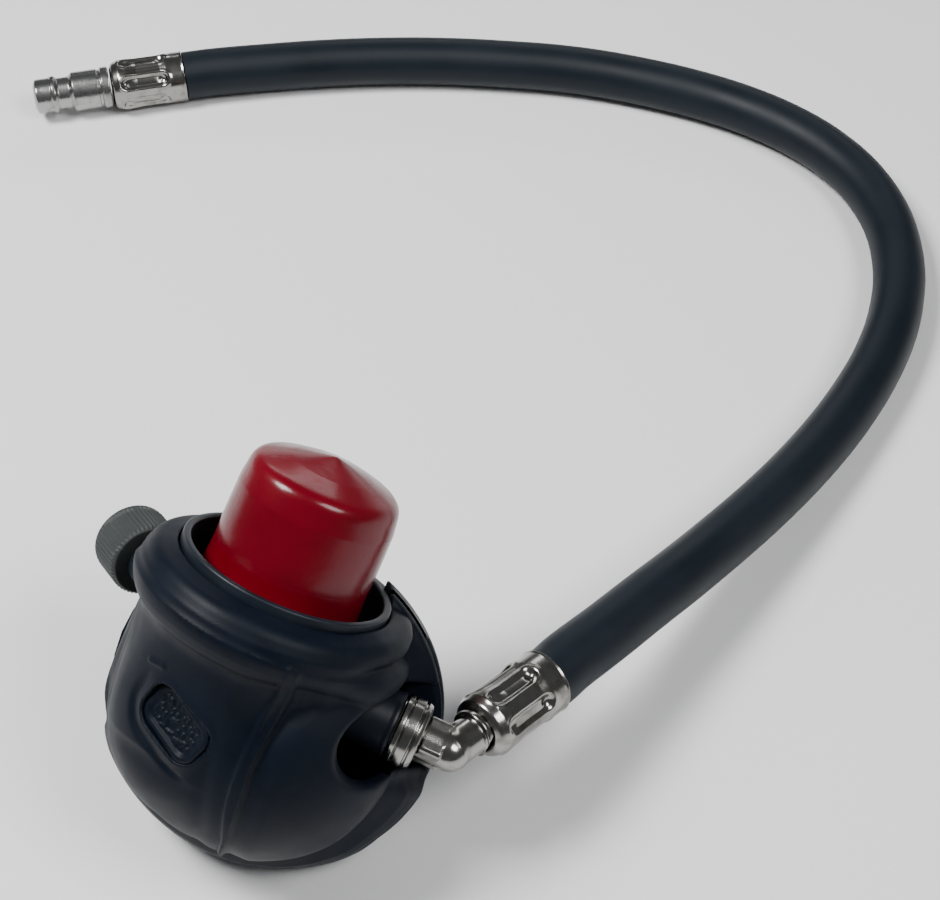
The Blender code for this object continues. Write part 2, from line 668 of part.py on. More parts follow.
def plunger_centre():
    """Return the height, on the pad's axis, of the centre of the plunger's round tip."""
    lowest = DRUM_FRONT + GAP + DIAPHRAGM_THICK + GAP
    return -(PAD_AT[1] - lowest - PLUNGER_R) / cos(radians(PAD_TILT))


def make_pad(build):
    """The push pad with its plunger, and the spring that lifts it."""
    pad = pad_prism(build, "purge_pad", 0, -PAD_THICK, 0)
    centre = plunger_centre()
    tip = [(PLUNGER_R * sin(radians(angle)), centre - PLUNGER_R * cos(radians(angle)))
           for angle in PLUNGER_TIP_ANGLES]
    shank = [(0, -PAD_THICK / 2), (PLUNGER_R, -PAD_THICK / 2), (PLUNGER_R, centre)] + tip
    shank.append((0, centre - PLUNGER_R))
    build.join(pad, put(turned("plunger", shank, SMALL_STEPS), build.pad))
    build.piece(pad, "boot_rubber")
    coil = put(spring("purge_spring", PURGE_SPRING, GAP - GUIDE_TOP, -PAD_THICK - GAP), build.pad)
    build.piece(curve_to_mesh_in(coil, build.pad), "steel")


def curve_to_mesh_in(obj, frame):
    """Turn a placed wire into a mesh in the same frame."""
    at = [value / MM for value in obj.location]
    turn = [angle * 180 / pi for angle in obj.rotation_euler]
    return put(curve_to_mesh(obj), frame, at, turn)


def make_front_cover(build):
    """The hard cover over the diaphragm, with the guide of the plunger and air holes."""
    low = DRUM_FRONT + GAP + DIAPHRAGM_THICK + GAP
    top = low + COVER_FLANGE
    outer = [(radius, top + rise) for radius, rise in reversed(DOME_RISE)] + [(COVER_R, top), (COVER_R, low)]
    inner = [(DISC_R + GAP, low)] + [(radius, top + rise - DOME_WALL) for radius, rise in DOME_RISE]
    cover = put(turned("front_cover", outer + inner), build.drum)
    guide = put(rod("plunger_guide", GUIDE_R, -GUIDE_TOP - GUIDE_LENGTH, -GUIDE_TOP), build.pad)
    bore = put(rod("guide_bore", PLUNGER_R + GAP, -GUIDE_TOP - 2 * OVER, -GUIDE_TOP + OVER), build.pad)
    build.join(cover, guide)
    build.cut(cover, bore)
    for angle in AIR_HOLE_ANGLES:
        place = (AIR_HOLE_CIRCLE * cos(radians(angle)), AIR_HOLE_CIRCLE * sin(radians(angle)), 0)
        hole = rod("air_hole_%d" % angle, AIR_HOLE_R, DRUM_FRONT, DRUM_FRONT + 2 * OVER, PIN_STEPS)
        build.cut(cover, put(hole, build.drum, place, (0, 0, angle + 7)))
    return build.piece(cover, "dark_plastic")


def make_diaphragm(build):
    """The diaphragm, clamped at its edge, with the plate it moves and the plate's spring."""
    low = DRUM_FRONT + GAP
    top = low + DIAPHRAGM_THICK
    build.piece(put(rod("diaphragm", DIAPHRAGM_R, low, top, STEPS), build.drum), "silicone")
    disc_top = low - GAP
    disc = put(rod("diaphragm_plate", DISC_R, disc_top - DISC_THICK, disc_top, STEPS), build.drum)
    build.piece(disc, "connector_plastic")
    floor = PLATE_FRONT + GAP
    coil = put(spring("bias_spring", BIAS_SPRING, floor, disc_top - DISC_THICK - GAP), build.drum)
    build.piece(curve_to_mesh_in(coil, build.drum), "steel")


def make_port(build):
    """Collar ring, sleeve, mask connector with its O-ring, and the dust cap."""
    base = NECK_TOP + GAP
    deck_top = NECK_TOP - WEB + GAP
    web_low = deck_top + GAP
    inner = SLEEVE_R + SLEEVE_ROOM
    collar = ((COLLAR_TOP_R, COLLAR_TOP), (COLLAR_BAND_R, COLLAR_BAND_Z), COLLAR_SHOULDER,
              (COLLAR_BASE_R, base + GAP), (COLLAR_BASE_R, base), (inner, base), (inner, COLLAR_LIP))
    build.piece(put(turned("collar_ring", collar), build.port), "boot_rubber")
    sleeve_in = SLEEVE_R - SLEEVE_WALL
    sleeve = ((SLEEVE_R, SLEEVE_TOP), (SLEEVE_R, web_low), (SLEEVE_SEAT_R, web_low),
              (SLEEVE_SEAT_R, web_low + WEB), (sleeve_in, web_low + WEB), (sleeve_in, SLEEVE_TOP))
    build.piece(put(turned("port_sleeve", sleeve), build.port), "dark_plastic")
    flange_r = SLEEVE_SEAT_R - SLEEVE_ROOM
    half = CONNECTOR_SEAL
    groove_r = CONNECTOR_R - 2 * half + 2 * SEAL_GAP
    high = CONNECTOR_GROOVE_Z + half + SEAL_GAP
    low = CONNECTOR_GROOVE_Z - half - SEAL_GAP
    connector = ((CONNECTOR_R - CONNECTOR_EDGE, CONNECTOR_TOP),
                 (CONNECTOR_R, CONNECTOR_TOP - CONNECTOR_EDGE), (CONNECTOR_R, high),
                 (groove_r, high), (groove_r, low), (CONNECTOR_R, low), (CONNECTOR_R, web_low + WEB),
                 (flange_r, web_low + WEB), (flange_r, web_low), (CONNECTOR_BORE, web_low),
                 (CONNECTOR_BORE, CONNECTOR_TOP))
    build.piece(put(turned("port_plug", connector), build.port), "connector_plastic")
    ring = torus_profile(groove_r + SEAL_GAP + half, half, CONNECTOR_GROOVE_Z, RING_STEPS)
    build.piece(put(turned("port_o_ring", ring, STEPS), build.port), "seal_rubber")
    cap = ((0, CAP_APEX), (CAP_TOP_R - CAP_ROUND, CAP_SHOULDER + CAP_ROUND), (CAP_TOP_R, CAP_SHOULDER),
           (CAP_LOW_R, CAP_LOW), (CAP_LOW_R - CAP_WALL, CAP_LOW),
           (CAP_TOP_R - CAP_WALL, CAP_SHOULDER - CAP_ROUND), (0, CAP_APEX - CAP_WALL - CAP_DISH))
    build.piece(put(turned("dust_cap", cap), build.port), "cap_vinyl")


def make_inlet(build):
    """Barrel with the pivot ears, valve seat, filter, piston and piston spring."""
    wall = BARREL_INNER + BARREL_END_WALL
    hole = STEM_R + GAP
    barrel_profile = ((BARREL_R, BARREL_OUTER), (BARREL_R, BARREL_INNER), (hole, BARREL_INNER), (hole, wall),
                      (BARREL_BORE, wall), (BARREL_BORE, SOCKET_FROM), (SOCKET_R, SOCKET_FROM),
                      (SOCKET_R, BARREL_OUTER))
    barrel = put(turned("inlet_barrel", barrel_profile, SMALL_STEPS), build.inlet)
    for name, low, high in (("upper_ear", EAR_LOW, EAR_HIGH), ("lower_ear", -EAR_HIGH, -EAR_LOW)):
        ear = box(name, (-HUB_R, -EAR_HALF, low), (BARREL_INNER - PIVOT_X + 1, EAR_HALF, high))
        build.join(barrel, put(ear, build.pivot))
    build.cut(barrel, put(rod("pin_holes", PIN_R + SEAL_GAP, -PIN_HALF - 1, PIN_HALF + 1, PIN_STEPS), build.pivot))
    build.piece(barrel, "brass")
    seat_from = PISTON_FACE + GAP
    seat = pipe("valve_seat", PISTON_R, ORIFICE_R, seat_from, seat_from + SEAT_LENGTH)
    build.piece(put(seat, build.inlet), "connector_plastic")
    filter_from = NIPPLE_FROM - GAP - FILTER_LENGTH
    sinter = rod("inlet_filter", SOCKET_R - GAP, filter_from, filter_from + FILTER_LENGTH)
    build.piece(put(sinter, build.inlet), "brass")
    head = PIVOT_X - PRONG_HALF - PISTON_PLAY
    piston = ((0, PISTON_FACE), (PISTON_R, PISTON_FACE), (PISTON_R, PISTON_BACK), (STEM_R, PISTON_BACK),
              (STEM_R, head), (STEM_HEAD_R, head), (STEM_HEAD_R, head - STEM_HEAD), (0, head - STEM_HEAD))
    build.piece(put(turned("valve_piston", piston, SMALL_STEPS), build.inlet), "brass")
    coil = put(spring("piston_spring", PISTON_SPRING, wall + GAP, PISTON_BACK - GAP), build.inlet)
    build.piece(curve_to_mesh_in(coil, build.inlet), "steel")


def make_lever(build):
    """The lever that the diaphragm plate presses, and its pin."""
    lever = put(rod("demand_lever", HUB_R, -HUB_HALF, HUB_HALF, STEM_STEPS), build.pivot)
    top = PIVOT_DROP + PRONG_REACH
    for name, low, high in (("upper_prong", PRONG_SLOT, HUB_HALF), ("lower_prong", -HUB_HALF, -PRONG_SLOT)):
        build.join(lever, put(box(name, (-PRONG_HALF, -top, low), (PRONG_HALF, 0, high)), build.pivot))
    bridge = box("bridge", (-PRONG_HALF, -top, -HUB_HALF), (PRONG_HALF, BRIDGE - top, HUB_HALF))
    tip_depth = DRUM_FRONT - DISC_THICK - GAP - TIP_R
    tip_rise = tip_depth - (INLET_DEPTH - PIVOT_DROP)
    tip = (TIP_X - PIVOT_X, -tip_rise)
    start = (0, BRIDGE / 2 - top)
    run = Vector((tip[0] - start[0], tip[1] - start[1]))
    side = Vector((-run.y, run.x)).normalized() * ARM_THICK / 2
    outline = [(start[0] + side.x, start[1] + side.y), (start[0] - side.x, start[1] - side.y),
               (tip[0] - side.x, tip[1] - side.y), (tip[0] + side.x, tip[1] + side.y)]
    arm = put(prism("lever_arm", outline, ARM_LOW, ARM_HIGH), build.pivot)
    roller = put(rod("lever_tip", TIP_R, ARM_LOW, ARM_HIGH, PIN_STEPS), build.pivot, (tip[0], tip[1], 0))
    build.join(lever, put(bridge, build.pivot), arm, roller)
    build.cut(lever, put(rod("hub_bore", PIN_R + SEAL_GAP, -HUB_HALF - 1, HUB_HALF + 1, PIN_STEPS), build.pivot))
    slot = box("stem_slot", (-HUB_R - 1, -PIVOT_DROP - STEM_R - 1, -PRONG_SLOT), (HUB_R + 1, -HUB_R, PRONG_SLOT))
    build.cut(lever, put(slot, build.pivot))
    build.piece(lever, "steel")
    build.piece(put(rod("lever_pin", PIN_R, -PIN_HALF, PIN_HALF, PIN_STEPS), build.pivot), "steel")


def make_knob(build):
    """Bypass knob with its bush, stem and O-ring."""
    socket = KNOB_STEM_R + SEAL_GAP
    edge = KNOB_R - KNOB_EDGE
    knob = ((0, KNOB_HALF), (edge, KNOB_HALF), (KNOB_R, KNOB_HALF - KNOB_EDGE),
            (KNOB_R, KNOB_EDGE - KNOB_HALF), (edge, -KNOB_HALF), (socket, -KNOB_HALF),
            (socket, STEM_SOCKET - KNOB_HALF),
            (0, STEM_SOCKET - KNOB_HALF))
    build.piece(put(turned("bypass_knob", knob, STEPS), build.knob), "knob_plastic")
    top = -KNOB_HALF - GAP
    bush = pipe("knob_bush", BUSH_R, KNOB_STEM_R + GAP, top - BUSH_LENGTH, top)
    build.piece(put(bush, build.knob), "dark_plastic")
    stem_top = STEM_SOCKET - KNOB_HALF - GAP
    stem_low = top - BUSH_LENGTH - KNOB_BOSS_LENGTH + KNOB_STEM_SHORT
    stem = rod("bypass_stem", KNOB_STEM_R, stem_low, stem_top, STEM_STEPS)
    build.piece(put(stem, build.knob), "brass")
    half = (KNOB_BORE_R - KNOB_STEM_R) / 2 - KNOB_SEAL_SQUEEZE
    ring = torus_profile((KNOB_BORE_R + KNOB_STEM_R) / 2, half, top - BUSH_LENGTH - KNOB_SEAL_AT,
                         RING_STEPS)
    build.piece(put(turned("bypass_o_ring", ring, STEM_STEPS), build.knob), "seal_rubber")


def make_nut(build):
    """The swivel nut with two grooves."""
    end = NUT_FROM + NUT_LENGTH
    groove = NUT_R - NUT_GROOVE
    counter = end - NUT_LIP
    profile = [(NUT_R - EDGE, end), (NUT_R, end - EDGE)]
    for height in NUT_GROOVES:
        middle = NUT_FROM + height
        profile += [(NUT_R, middle + NUT_GROOVE_HALF), (groove, middle), (NUT_R, middle - NUT_GROOVE_HALF)]
    profile += [(NUT_R, NUT_FROM + EDGE), (NUT_R - EDGE, NUT_FROM),
                (BARREL_R + GAP, NUT_FROM), (BARREL_R + GAP, BARREL_OUTER + GAP / 2),
                (ELBOW_FLANGE_R + GAP, BARREL_OUTER + GAP / 2), (ELBOW_FLANGE_R + GAP, counter),
                (ELBOW_R + GAP, counter), (ELBOW_R + GAP, end)]
    build.piece(put(turned("swivel_nut", profile, STEPS), build.inlet), "plated_brass")


def make_elbow(build):
    """The swivel elbow: nipple, flange, neck with flats, knuckle, arm and hose tail."""
    flange_from = BARREL_OUTER + GAP
    groove_r = NIPPLE_R - 2 * NIPPLE_SEAL + SEAL_GAP
    half = NIPPLE_SEAL + SEAL_GAP
    profile = ((0, ELBOW_CORNER), (ELBOW_R, ELBOW_CORNER), (ELBOW_R, flange_from + ELBOW_FLANGE),
               (ELBOW_FLANGE_R, flange_from + ELBOW_FLANGE), (ELBOW_FLANGE_R, flange_from),
               (NIPPLE_R, flange_from), (NIPPLE_R, NIPPLE_GROOVE + half), (groove_r, NIPPLE_GROOVE + half),
               (groove_r, NIPPLE_GROOVE - half), (NIPPLE_R, NIPPLE_GROOVE - half), (NIPPLE_R, NIPPLE_FROM),
               (0, NIPPLE_FROM))
    elbow = put(turned("swivel_elbow", profile, SMALL_STEPS), build.inlet)
    flats_to = NUT_FROM + NUT_LENGTH + GAP + FLAT_LENGTH
    flats = rod("flats", ELBOW_KNUCKLE_R, flats_to - FLAT_LENGTH, flats_to)
    put(flats, build.inlet)
    for name, sign in (("upper_flat", 1), ("lower_flat", -1)):
        faces = sorted((sign * FLAT_HALF, sign * 2 * OVER))
        side = box(name, (faces[0], -2 * OVER, NUT_FROM), (faces[1], 2 * OVER, flats_to + OVER))
        build.cut(flats, put(side, build.inlet, turn=(0, 0, FLAT_TURN)))
    angles = [pi * index / KNUCKLE_STEPS for index in range(KNUCKLE_STEPS + 1)]
    knuckle = [(ELBOW_KNUCKLE_R * sin(angle), ELBOW_KNUCKLE_R * cos(angle)) for angle in angles]
    knuckle[0] = (0, ELBOW_KNUCKLE_R)
    knuckle[-1] = (0, -ELBOW_KNUCKLE_R)
    ball = put(turned("knuckle", knuckle, SMALL_STEPS), build.arm)
    tail_end = ELBOW_ARM + FERRULE_LENGTH - TAIL_SHORT
    arm_profile = ((0, tail_end), (TAIL_R, tail_end), (TAIL_R, ELBOW_ARM), (ELBOW_KNUCKLE_R, ELBOW_ARM),
                   (ELBOW_KNUCKLE_R, 0), (0, 0))
    arm = put(turned("elbow_arm", arm_profile, SMALL_STEPS), build.arm)
    build.join(elbow, flats, ball, arm)
    way = rod("inlet_way", ELBOW_BORE, NIPPLE_FROM - OVER, ELBOW_CORNER + ELBOW_BORE / 2, STEM_STEPS)
    put(way, build.inlet)
    build.join(way, put(rod("arm_way", ELBOW_BORE, -ELBOW_BORE / 2, tail_end + OVER, STEM_STEPS), build.arm))
    build.cut(elbow, way)
    build.piece(elbow, "plated_brass")
    ring = torus_profile(groove_r + SEAL_GAP / 2 + NIPPLE_SEAL, NIPPLE_SEAL, NIPPLE_GROOVE, RING_STEPS)
    build.piece(put(turned("elbow_o_ring", ring, SMALL_STEPS), build.inlet), "seal_rubber")


def ferrule_profile(start, direction):
    """Return the profile of a hose ferrule from its neck to its mouth, going up or down."""
    outer = [(radius, start + direction * height) for radius, height in FERRULE_SHAPE]
    ends = [(FERRULE_BORE, outer[-1][1]), (FERRULE_BORE, outer[0][1])]
    if direction > 0:
        return list(reversed(outer)) + list(reversed(ends))
    return outer + ends


def make_hose_ends(build):
    """The ferrules at both ends of the hose and the coupling plug."""
    near = turned("valve_end_ferrule", ferrule_profile(ELBOW_ARM + GAP, 1), SMALL_STEPS)
    build.piece(put(near, build.arm), "plated_brass")
    far = turned("plug_end_ferrule", ferrule_profile(FERRULE_LENGTH, -1), SMALL_STEPS)
    build.piece(put(far, build.plug), "plated_brass")
    base = FERRULE_LENGTH + GAP
    outer = [(radius, base + height) for radius, height in reversed(PLUG_PROFILE)]
    inner = [(TAIL_R, base), (TAIL_R, TAIL_SHORT), (PLUG_BORE, TAIL_SHORT), (PLUG_BORE, outer[0][1])]
    build.piece(put(turned("coupling_plug", outer + inner, SMALL_STEPS), build.plug), "plug_steel")


def smooth_route(points, spacing):
    """Return points at about even spacing on a smooth curve through the given ones."""
    fine = []
    padded = [points[0] * 2 - points[1]] + points + [points[-1] * 2 - points[-2]]
    for before, start, end, after in zip(padded, padded[1:], padded[2:], padded[3:]):
        for index in range(10):
            t = index / 10
            fine.append(0.5 * (2 * start + (end - before) * t
                               + (2 * before - 5 * start + 4 * end - after) * t ** 2
                               + (3 * start - before - 3 * end + after) * t ** 3))
    fine.append(points[-1])
    lengths = [0.0]
    for first, second in zip(fine, fine[1:]):
        lengths.append(lengths[-1] + (second - first).length)
    count = ceil(lengths[-1] / spacing)
    route = []
    for index in range(count + 1):
        want = lengths[-1] * index / count
        step = max(i for i, length in enumerate(lengths) if length <= want + 1e-9)
        step = min(step, len(fine) - 2)
        share = (want - lengths[step]) / (lengths[step + 1] - lengths[step])
        route.append(fine[step].lerp(fine[step + 1], share))
    return route


def make_hose(build):
    """The hose, from the mouth of one ferrule along the floor to the mouth of the other."""
    bpy.context.view_layer.update()
    arm = build.arm.matrix_world
    mouth = ELBOW_ARM + GAP + FERRULE_LENGTH + GAP
    start = arm @ Vector((0, 0, mouth * MM)) / MM
    start_lead = arm @ Vector((0, 0, (mouth + HOSE_LEAD) * MM)) / MM
    plug = build.plug.matrix_world
    end = plug @ Vector((0, 0, -GAP * MM)) / MM
    end_lead = plug @ Vector((0, 0, (-GAP - HOSE_LEAD) * MM)) / MM
    through = [start_lead] + [Vector(point) for point in HOSE_ROUTE] + [end_lead]
    points = [start] + smooth_route(through, HOSE_SPACING) + [end]
    hose = curve_to_mesh(wire("hose", points, HOSE_R, 4))
    build.piece(hose, "hose_rubber")


def make_screws(build):
    """The four screws that hold the rear cover to the carrier plate."""
    for number, angle in enumerate(SCREW_ANGLES, 1):
        name = "housing_screw_%d" % number
        build.piece(screw(build, name, angle, SCREW_HEAD_R, SCREW_R, PLATE_FRONT - GAP), "steel")


def main():
    """Build the whole part."""
    clear_scene()
    build = Builder()
    make_housing(build)
    make_rear_cover(build)
    make_screws(build)
    make_boot(build)
    make_port(build)
    make_diaphragm(build)
    make_front_cover(build)
    make_pad(build)
    make_inlet(build)
    make_lever(build)
    make_knob(build)
    make_nut(build)
    make_elbow(build)
    make_hose_ends(build)
    make_hose(build)
    for collection in (build.parts, build.cutters):
        for obj in collection.objects:
            if obj.name in bpy.context.scene.collection.objects:
                bpy.context.scene.collection.objects.unlink(obj)
    bpy.context.view_layer.update()


main()
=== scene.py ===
"""Looks of the demand valve: its rubber front, mask port, cap, knob, fittings and supply hose."""

import logging
import math
from dataclasses import dataclass, field
from enum import Enum
from typing import Callable, Sequence

import bpy
import numpy as np
from mathutils import Euler, Matrix, Vector

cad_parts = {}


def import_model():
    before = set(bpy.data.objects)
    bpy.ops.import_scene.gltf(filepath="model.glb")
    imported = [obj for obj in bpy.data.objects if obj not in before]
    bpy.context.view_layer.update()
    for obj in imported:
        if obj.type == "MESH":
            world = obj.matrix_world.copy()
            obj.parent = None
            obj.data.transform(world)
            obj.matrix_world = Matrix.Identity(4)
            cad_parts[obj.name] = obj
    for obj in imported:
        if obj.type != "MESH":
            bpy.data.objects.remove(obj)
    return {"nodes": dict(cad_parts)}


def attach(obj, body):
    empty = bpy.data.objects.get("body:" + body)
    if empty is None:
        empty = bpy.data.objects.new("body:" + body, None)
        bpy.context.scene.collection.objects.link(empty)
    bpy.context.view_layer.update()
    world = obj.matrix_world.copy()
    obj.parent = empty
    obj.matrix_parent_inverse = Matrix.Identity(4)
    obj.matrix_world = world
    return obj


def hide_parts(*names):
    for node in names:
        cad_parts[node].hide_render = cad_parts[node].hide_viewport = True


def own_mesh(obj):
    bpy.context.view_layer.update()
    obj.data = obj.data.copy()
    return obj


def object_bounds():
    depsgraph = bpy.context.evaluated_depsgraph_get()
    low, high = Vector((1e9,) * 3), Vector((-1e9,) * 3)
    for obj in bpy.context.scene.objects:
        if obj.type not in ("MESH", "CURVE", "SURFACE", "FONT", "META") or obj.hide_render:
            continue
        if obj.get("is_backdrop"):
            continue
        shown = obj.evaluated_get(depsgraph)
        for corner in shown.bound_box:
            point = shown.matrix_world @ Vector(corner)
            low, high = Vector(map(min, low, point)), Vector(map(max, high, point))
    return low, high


LOG = logging.getLogger("demand_valve")
MM = 0.001
# the attribute that keeps a mesh's own coordinates
OWN_PLACE = "own_place"
# how far the port's axis lies beside the valve's, in millimetres
PORT_SIDE = -7.8
Pair = tuple[float, float]
Triple = tuple[float, float, float]
Table = tuple[Pair, ...]
Distance = Callable[[np.ndarray], np.ndarray]
Relief = Callable[[np.ndarray, np.ndarray, np.ndarray], np.ndarray]
Object = bpy.types.Object
Socket = bpy.types.NodeSocket
Value = float | Sequence[float] | Socket


class Body(Enum):
    """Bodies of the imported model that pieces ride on."""

    VALVE = "valve"
    PAD = "pad"
    KNOB = "knob"
    CAP = "cap"
    HOSE = "hose_assembly"


class Slot(Enum):
    """Material slots of the record."""

    BOOT = "boot_rubber"
    PLASTIC = "dark_plastic"
    VINYL = "cap_vinyl"
    CONNECTOR = "connector_plastic"
    KNOB = "knob_plastic"
    PLATED = "plated_brass"
    PLUG = "plug_steel"
    BRASS = "brass"
    STEEL = "steel"
    HOSE = "hose_rubber"
    SEAL = "seal_rubber"
    SILICONE = "silicone"


# ---------------------------------------------------------------- places


@dataclass(frozen=True)
class Place:
    """A frame that pieces are built in, as its matrix in the row frame."""

    matrix: Matrix

    def inside(self, at: Triple = (0, 0, 0), turn: Triple = (0, 0, 0)) -> "Place":
        """Return the frame at a point in millimetres, turned by angles in degrees."""
        turned = Euler([math.radians(angle) for angle in turn]).to_matrix().to_4x4()
        return Place(self.matrix @ Matrix.Translation(Vector(at) * MM) @ turned)

    def point(self, at: Triple) -> Vector:
        """Return a point of this frame, in millimetres, as metres in the row frame."""
        return self.matrix @ (Vector(at) * MM)


ROW = Place(Matrix.Identity(4))
VALVE = ROW.inside((-13.75, -9.21, 38.38), (-37.61, 15.24, -19.70))
PORT = VALVE.inside((PORT_SIDE, 0, 0))
FRONT = VALVE.inside((0, 0, 0), (90, 0, 0))
INLET = VALVE.inside((0, -0.3, 11.4), (0, 90, 0))
ARM = INLET.inside((0, 0, 38.9), (0, 64.2, 120.7))
KNOB = VALVE.inside((-41.0, 20.0, 15.2), (-90, 0, 41.3))
PAD = VALVE.inside((-14.7, -21.6, 0.8), (90, 0, -24.0))
PLUG = ROW.inside((-57.0, 240.6, 7.5), (0, 90, 192.8))


# ---------------------------------------------------------------- meshes


def linked(name: str, data: bpy.types.ID) -> Object:
    """Link a new object into the scene.

    Args:
        name: its name.
        data: its mesh, curve, camera or light.

    Returns:
        The object.
    """
    obj = bpy.data.objects.new(name, data)
    bpy.context.scene.collection.objects.link(obj)
    return obj


def new_object(name: str, mesh: bpy.types.Mesh, place: Place) -> Object:
    """Move a mesh from its frame into the row frame and link it into the scene.

    Its own coordinates stay on it as an attribute, for finishes that follow its axis.

    Args:
        name: the piece's name.
        mesh: its mesh, in metres in the frame.
        place: the frame.

    Returns:
        The new object.
    """
    spots = np.empty(len(mesh.vertices) * 3, np.float32)
    mesh.vertices.foreach_get("co", spots)
    own = mesh.attributes.new(OWN_PLACE, "FLOAT_VECTOR", "POINT")
    own.data.foreach_set("vector", spots)
    mesh.transform(place.matrix)
    obj = linked(name, mesh)
    mesh.shade_smooth()
    return obj


def quad_mesh(name: str, points: np.ndarray, quads: np.ndarray) -> bpy.types.Mesh:
    """Make a mesh of quads from arrays.

    Args:
        name: the mesh's name.
        points: N x 3 in millimetres.
        quads: M x 4 indices.

    Returns:
        The mesh, in metres.
    """
    mesh = bpy.data.meshes.new(name)
    mesh.vertices.add(len(points))
    mesh.vertices.foreach_set("co", (points * MM).astype(np.float32).ravel())
    mesh.loops.add(quads.size)
    mesh.loops.foreach_set("vertex_index", quads.astype(np.int32).ravel())
    mesh.polygons.add(len(quads))
    mesh.polygons.foreach_set("loop_start", np.arange(0, quads.size, 4, dtype=np.int32))
    mesh.update(calc_edges=True)
    mesh.validate()
    return mesh


def surface_of(
    distance: Distance, low: Triple, high: Triple, step: float, rounds: int = 3
) -> tuple[np.ndarray, np.ndarray]:
    """Mesh the zero surface of a distance field, and draw its corners onto it.

    Args:
        distance: the field, negative inside.
        low: lowest corner of the region, in millimetres.
        high: highest corner.
        step: grid spacing.
        rounds: how often the mesh is evened out and drawn back.

    Returns:
        The points and the quads.
    """
    axes = [np.arange(a, b + step, step) for a, b in zip(low, high)]
    shape = tuple(len(axis) for axis in axes)
    values = np.empty(shape)
    ys, zs = np.meshgrid(axes[1], axes[2], indexing="ij")
    for index, x in enumerate(axes[0]):
        slab = np.stack([np.full(ys.size, x), ys.ravel(), zs.ravel()], 1)
        values[index] = distance(slab).reshape(ys.shape)
    cells = tuple(size - 1 for size in shape)
    total = np.zeros(cells + (3,))
    count = np.zeros(cells)
    crossings = []
    for axis in range(3):
        first = np.take(values, range(shape[axis] - 1), axis)
        second = np.take(values, range(1, shape[axis]), axis)
        cross = (first < 0) != (second < 0)
        where = np.argwhere(cross)
        a, b = first[cross], second[cross]
        spots = where.astype(float)
        spots[:, axis] += a / (a - b)
        crossings.append((where, a < 0))
        sides = [other for other in range(3) if other != axis]
        for shift in ((0, 0), (0, 1), (1, 0), (1, 1)):
            cell = where.copy()
            cell[:, sides] -= shift
            good = ((cell >= 0) & (cell < cells)).all(1)
            np.add.at(total, tuple(cell[good].T), spots[good])
            np.add.at(count, tuple(cell[good].T), 1)
    used = count > 0
    number = np.full(cells, -1)
    number[used] = np.arange(used.sum())
    points = total[used] / count[used][:, None] * step + np.array([axis[0] for axis in axes])
    quads = []
    for axis, (where, inward) in enumerate(crossings):
        sides = [(axis + 1) % 3, (axis + 2) % 3]
        corners = []
        for shift in ((0, 0), (1, 0), (1, 1), (0, 1)):
            cell = where.copy()
            cell[:, sides] -= shift
            corners.append(cell)
        good = np.all([((c >= 0) & (c < cells)).all(1) for c in corners], axis=0)
        faces = np.stack([number[tuple(c[good].T)] for c in corners], 1)
        flip = ~inward[good]
        faces[flip] = faces[flip][:, ::-1]
        quads.append(faces)
    quads = np.concatenate(quads)
    for turn in range(rounds):
        if turn:
            points = evened(points, quads)
        points = drawn_onto(distance, points, step)
    return points, quads


def evened(points: np.ndarray, quads: np.ndarray) -> np.ndarray:
    """Move each point half way to the mean of its neighbours.

    Args:
        points: the points.
        quads: the faces that join them.

    Returns:
        The moved points.
    """
    total = np.zeros_like(points)
    count = np.zeros(len(points))
    for a, b in ((0, 1), (1, 2), (2, 3), (3, 0)):
        np.add.at(total, quads[:, a], points[quads[:, b]])
        np.add.at(total, quads[:, b], points[quads[:, a]])
        np.add.at(count, quads[:, a], 1)
        np.add.at(count, quads[:, b], 1)
    return points * 0.5 + total / np.maximum(count, 1)[:, None] * 0.5


def drawn_onto(distance: Distance, points: np.ndarray, reach: float) -> np.ndarray:
    """Move points onto a field's zero surface.

    Args:
        distance: the field.
        points: the points.
        reach: the most that a point moves in each of the three steps.

    Returns:
        The points on the surface.
    """
    small, least_slope = 0.04, 0.05
    for _ in range(3):
        slope = np.empty_like(points)
        for axis in range(3):
            shift = np.zeros(3)
            shift[axis] = small
            slope[:, axis] = (distance(points + shift) - distance(points - shift)) / (2 * small)
        size = np.maximum((slope ** 2).sum(1), least_slope)
        move = np.clip(distance(points) / size, -reach, reach)
        points = points - slope * move[:, None]
    return points


def field_piece(
    name: str, distance: Distance, low: Triple, high: Triple, step: float, place: Place
) -> Object:
    """Make a piece from a distance field, in its own frame.

    Args:
        name: the piece's name.
        distance: its field, in millimetres.
        low: lowest corner of the region meshed.
        high: highest corner.
        step: mesh size.
        place: the frame.

    Returns:
        The new object.
    """
    coarse = 1.0
    points, quads = surface_of(distance, low, high, step * coarse)
    return new_object(name, quad_mesh(name, points, quads), place)


def rounded(profile: Sequence[Sequence[float]], spacing: float = 0) -> list[Pair]:
    """Round the corners of a profile.

    Args:
        profile: corners as radius, height and, where it is rounded, the corner's radius.
        spacing: greatest length of a straight step, or 0 to leave straight runs whole.

    Returns:
        The points of the rounded profile.
    """
    parts, most = 5, 0.49
    spots = [Vector(corner[:2]) for corner in profile]
    out: list[Vector] = []
    for index, corner in enumerate(profile):
        here = spots[index]
        radius = corner[2] if len(corner) > 2 else 0
        if not radius:
            out.append(here)
            continue
        before = spots[index - 1] - here
        after = spots[(index + 1) % len(spots)] - here
        half = before.angle(after) / 2
        reach = min(radius / math.tan(half), before.length * most, after.length * most)
        start = here + before.normalized() * reach
        end = here + after.normalized() * reach
        for part in range(parts + 1):
            t = part / parts
            out.append(start * (1 - t) ** 2 + here * 2 * t * (1 - t) + end * t * t)
    if spacing:
        out = stepped(out, spacing)
    return [(point.x, point.y) for point in out]


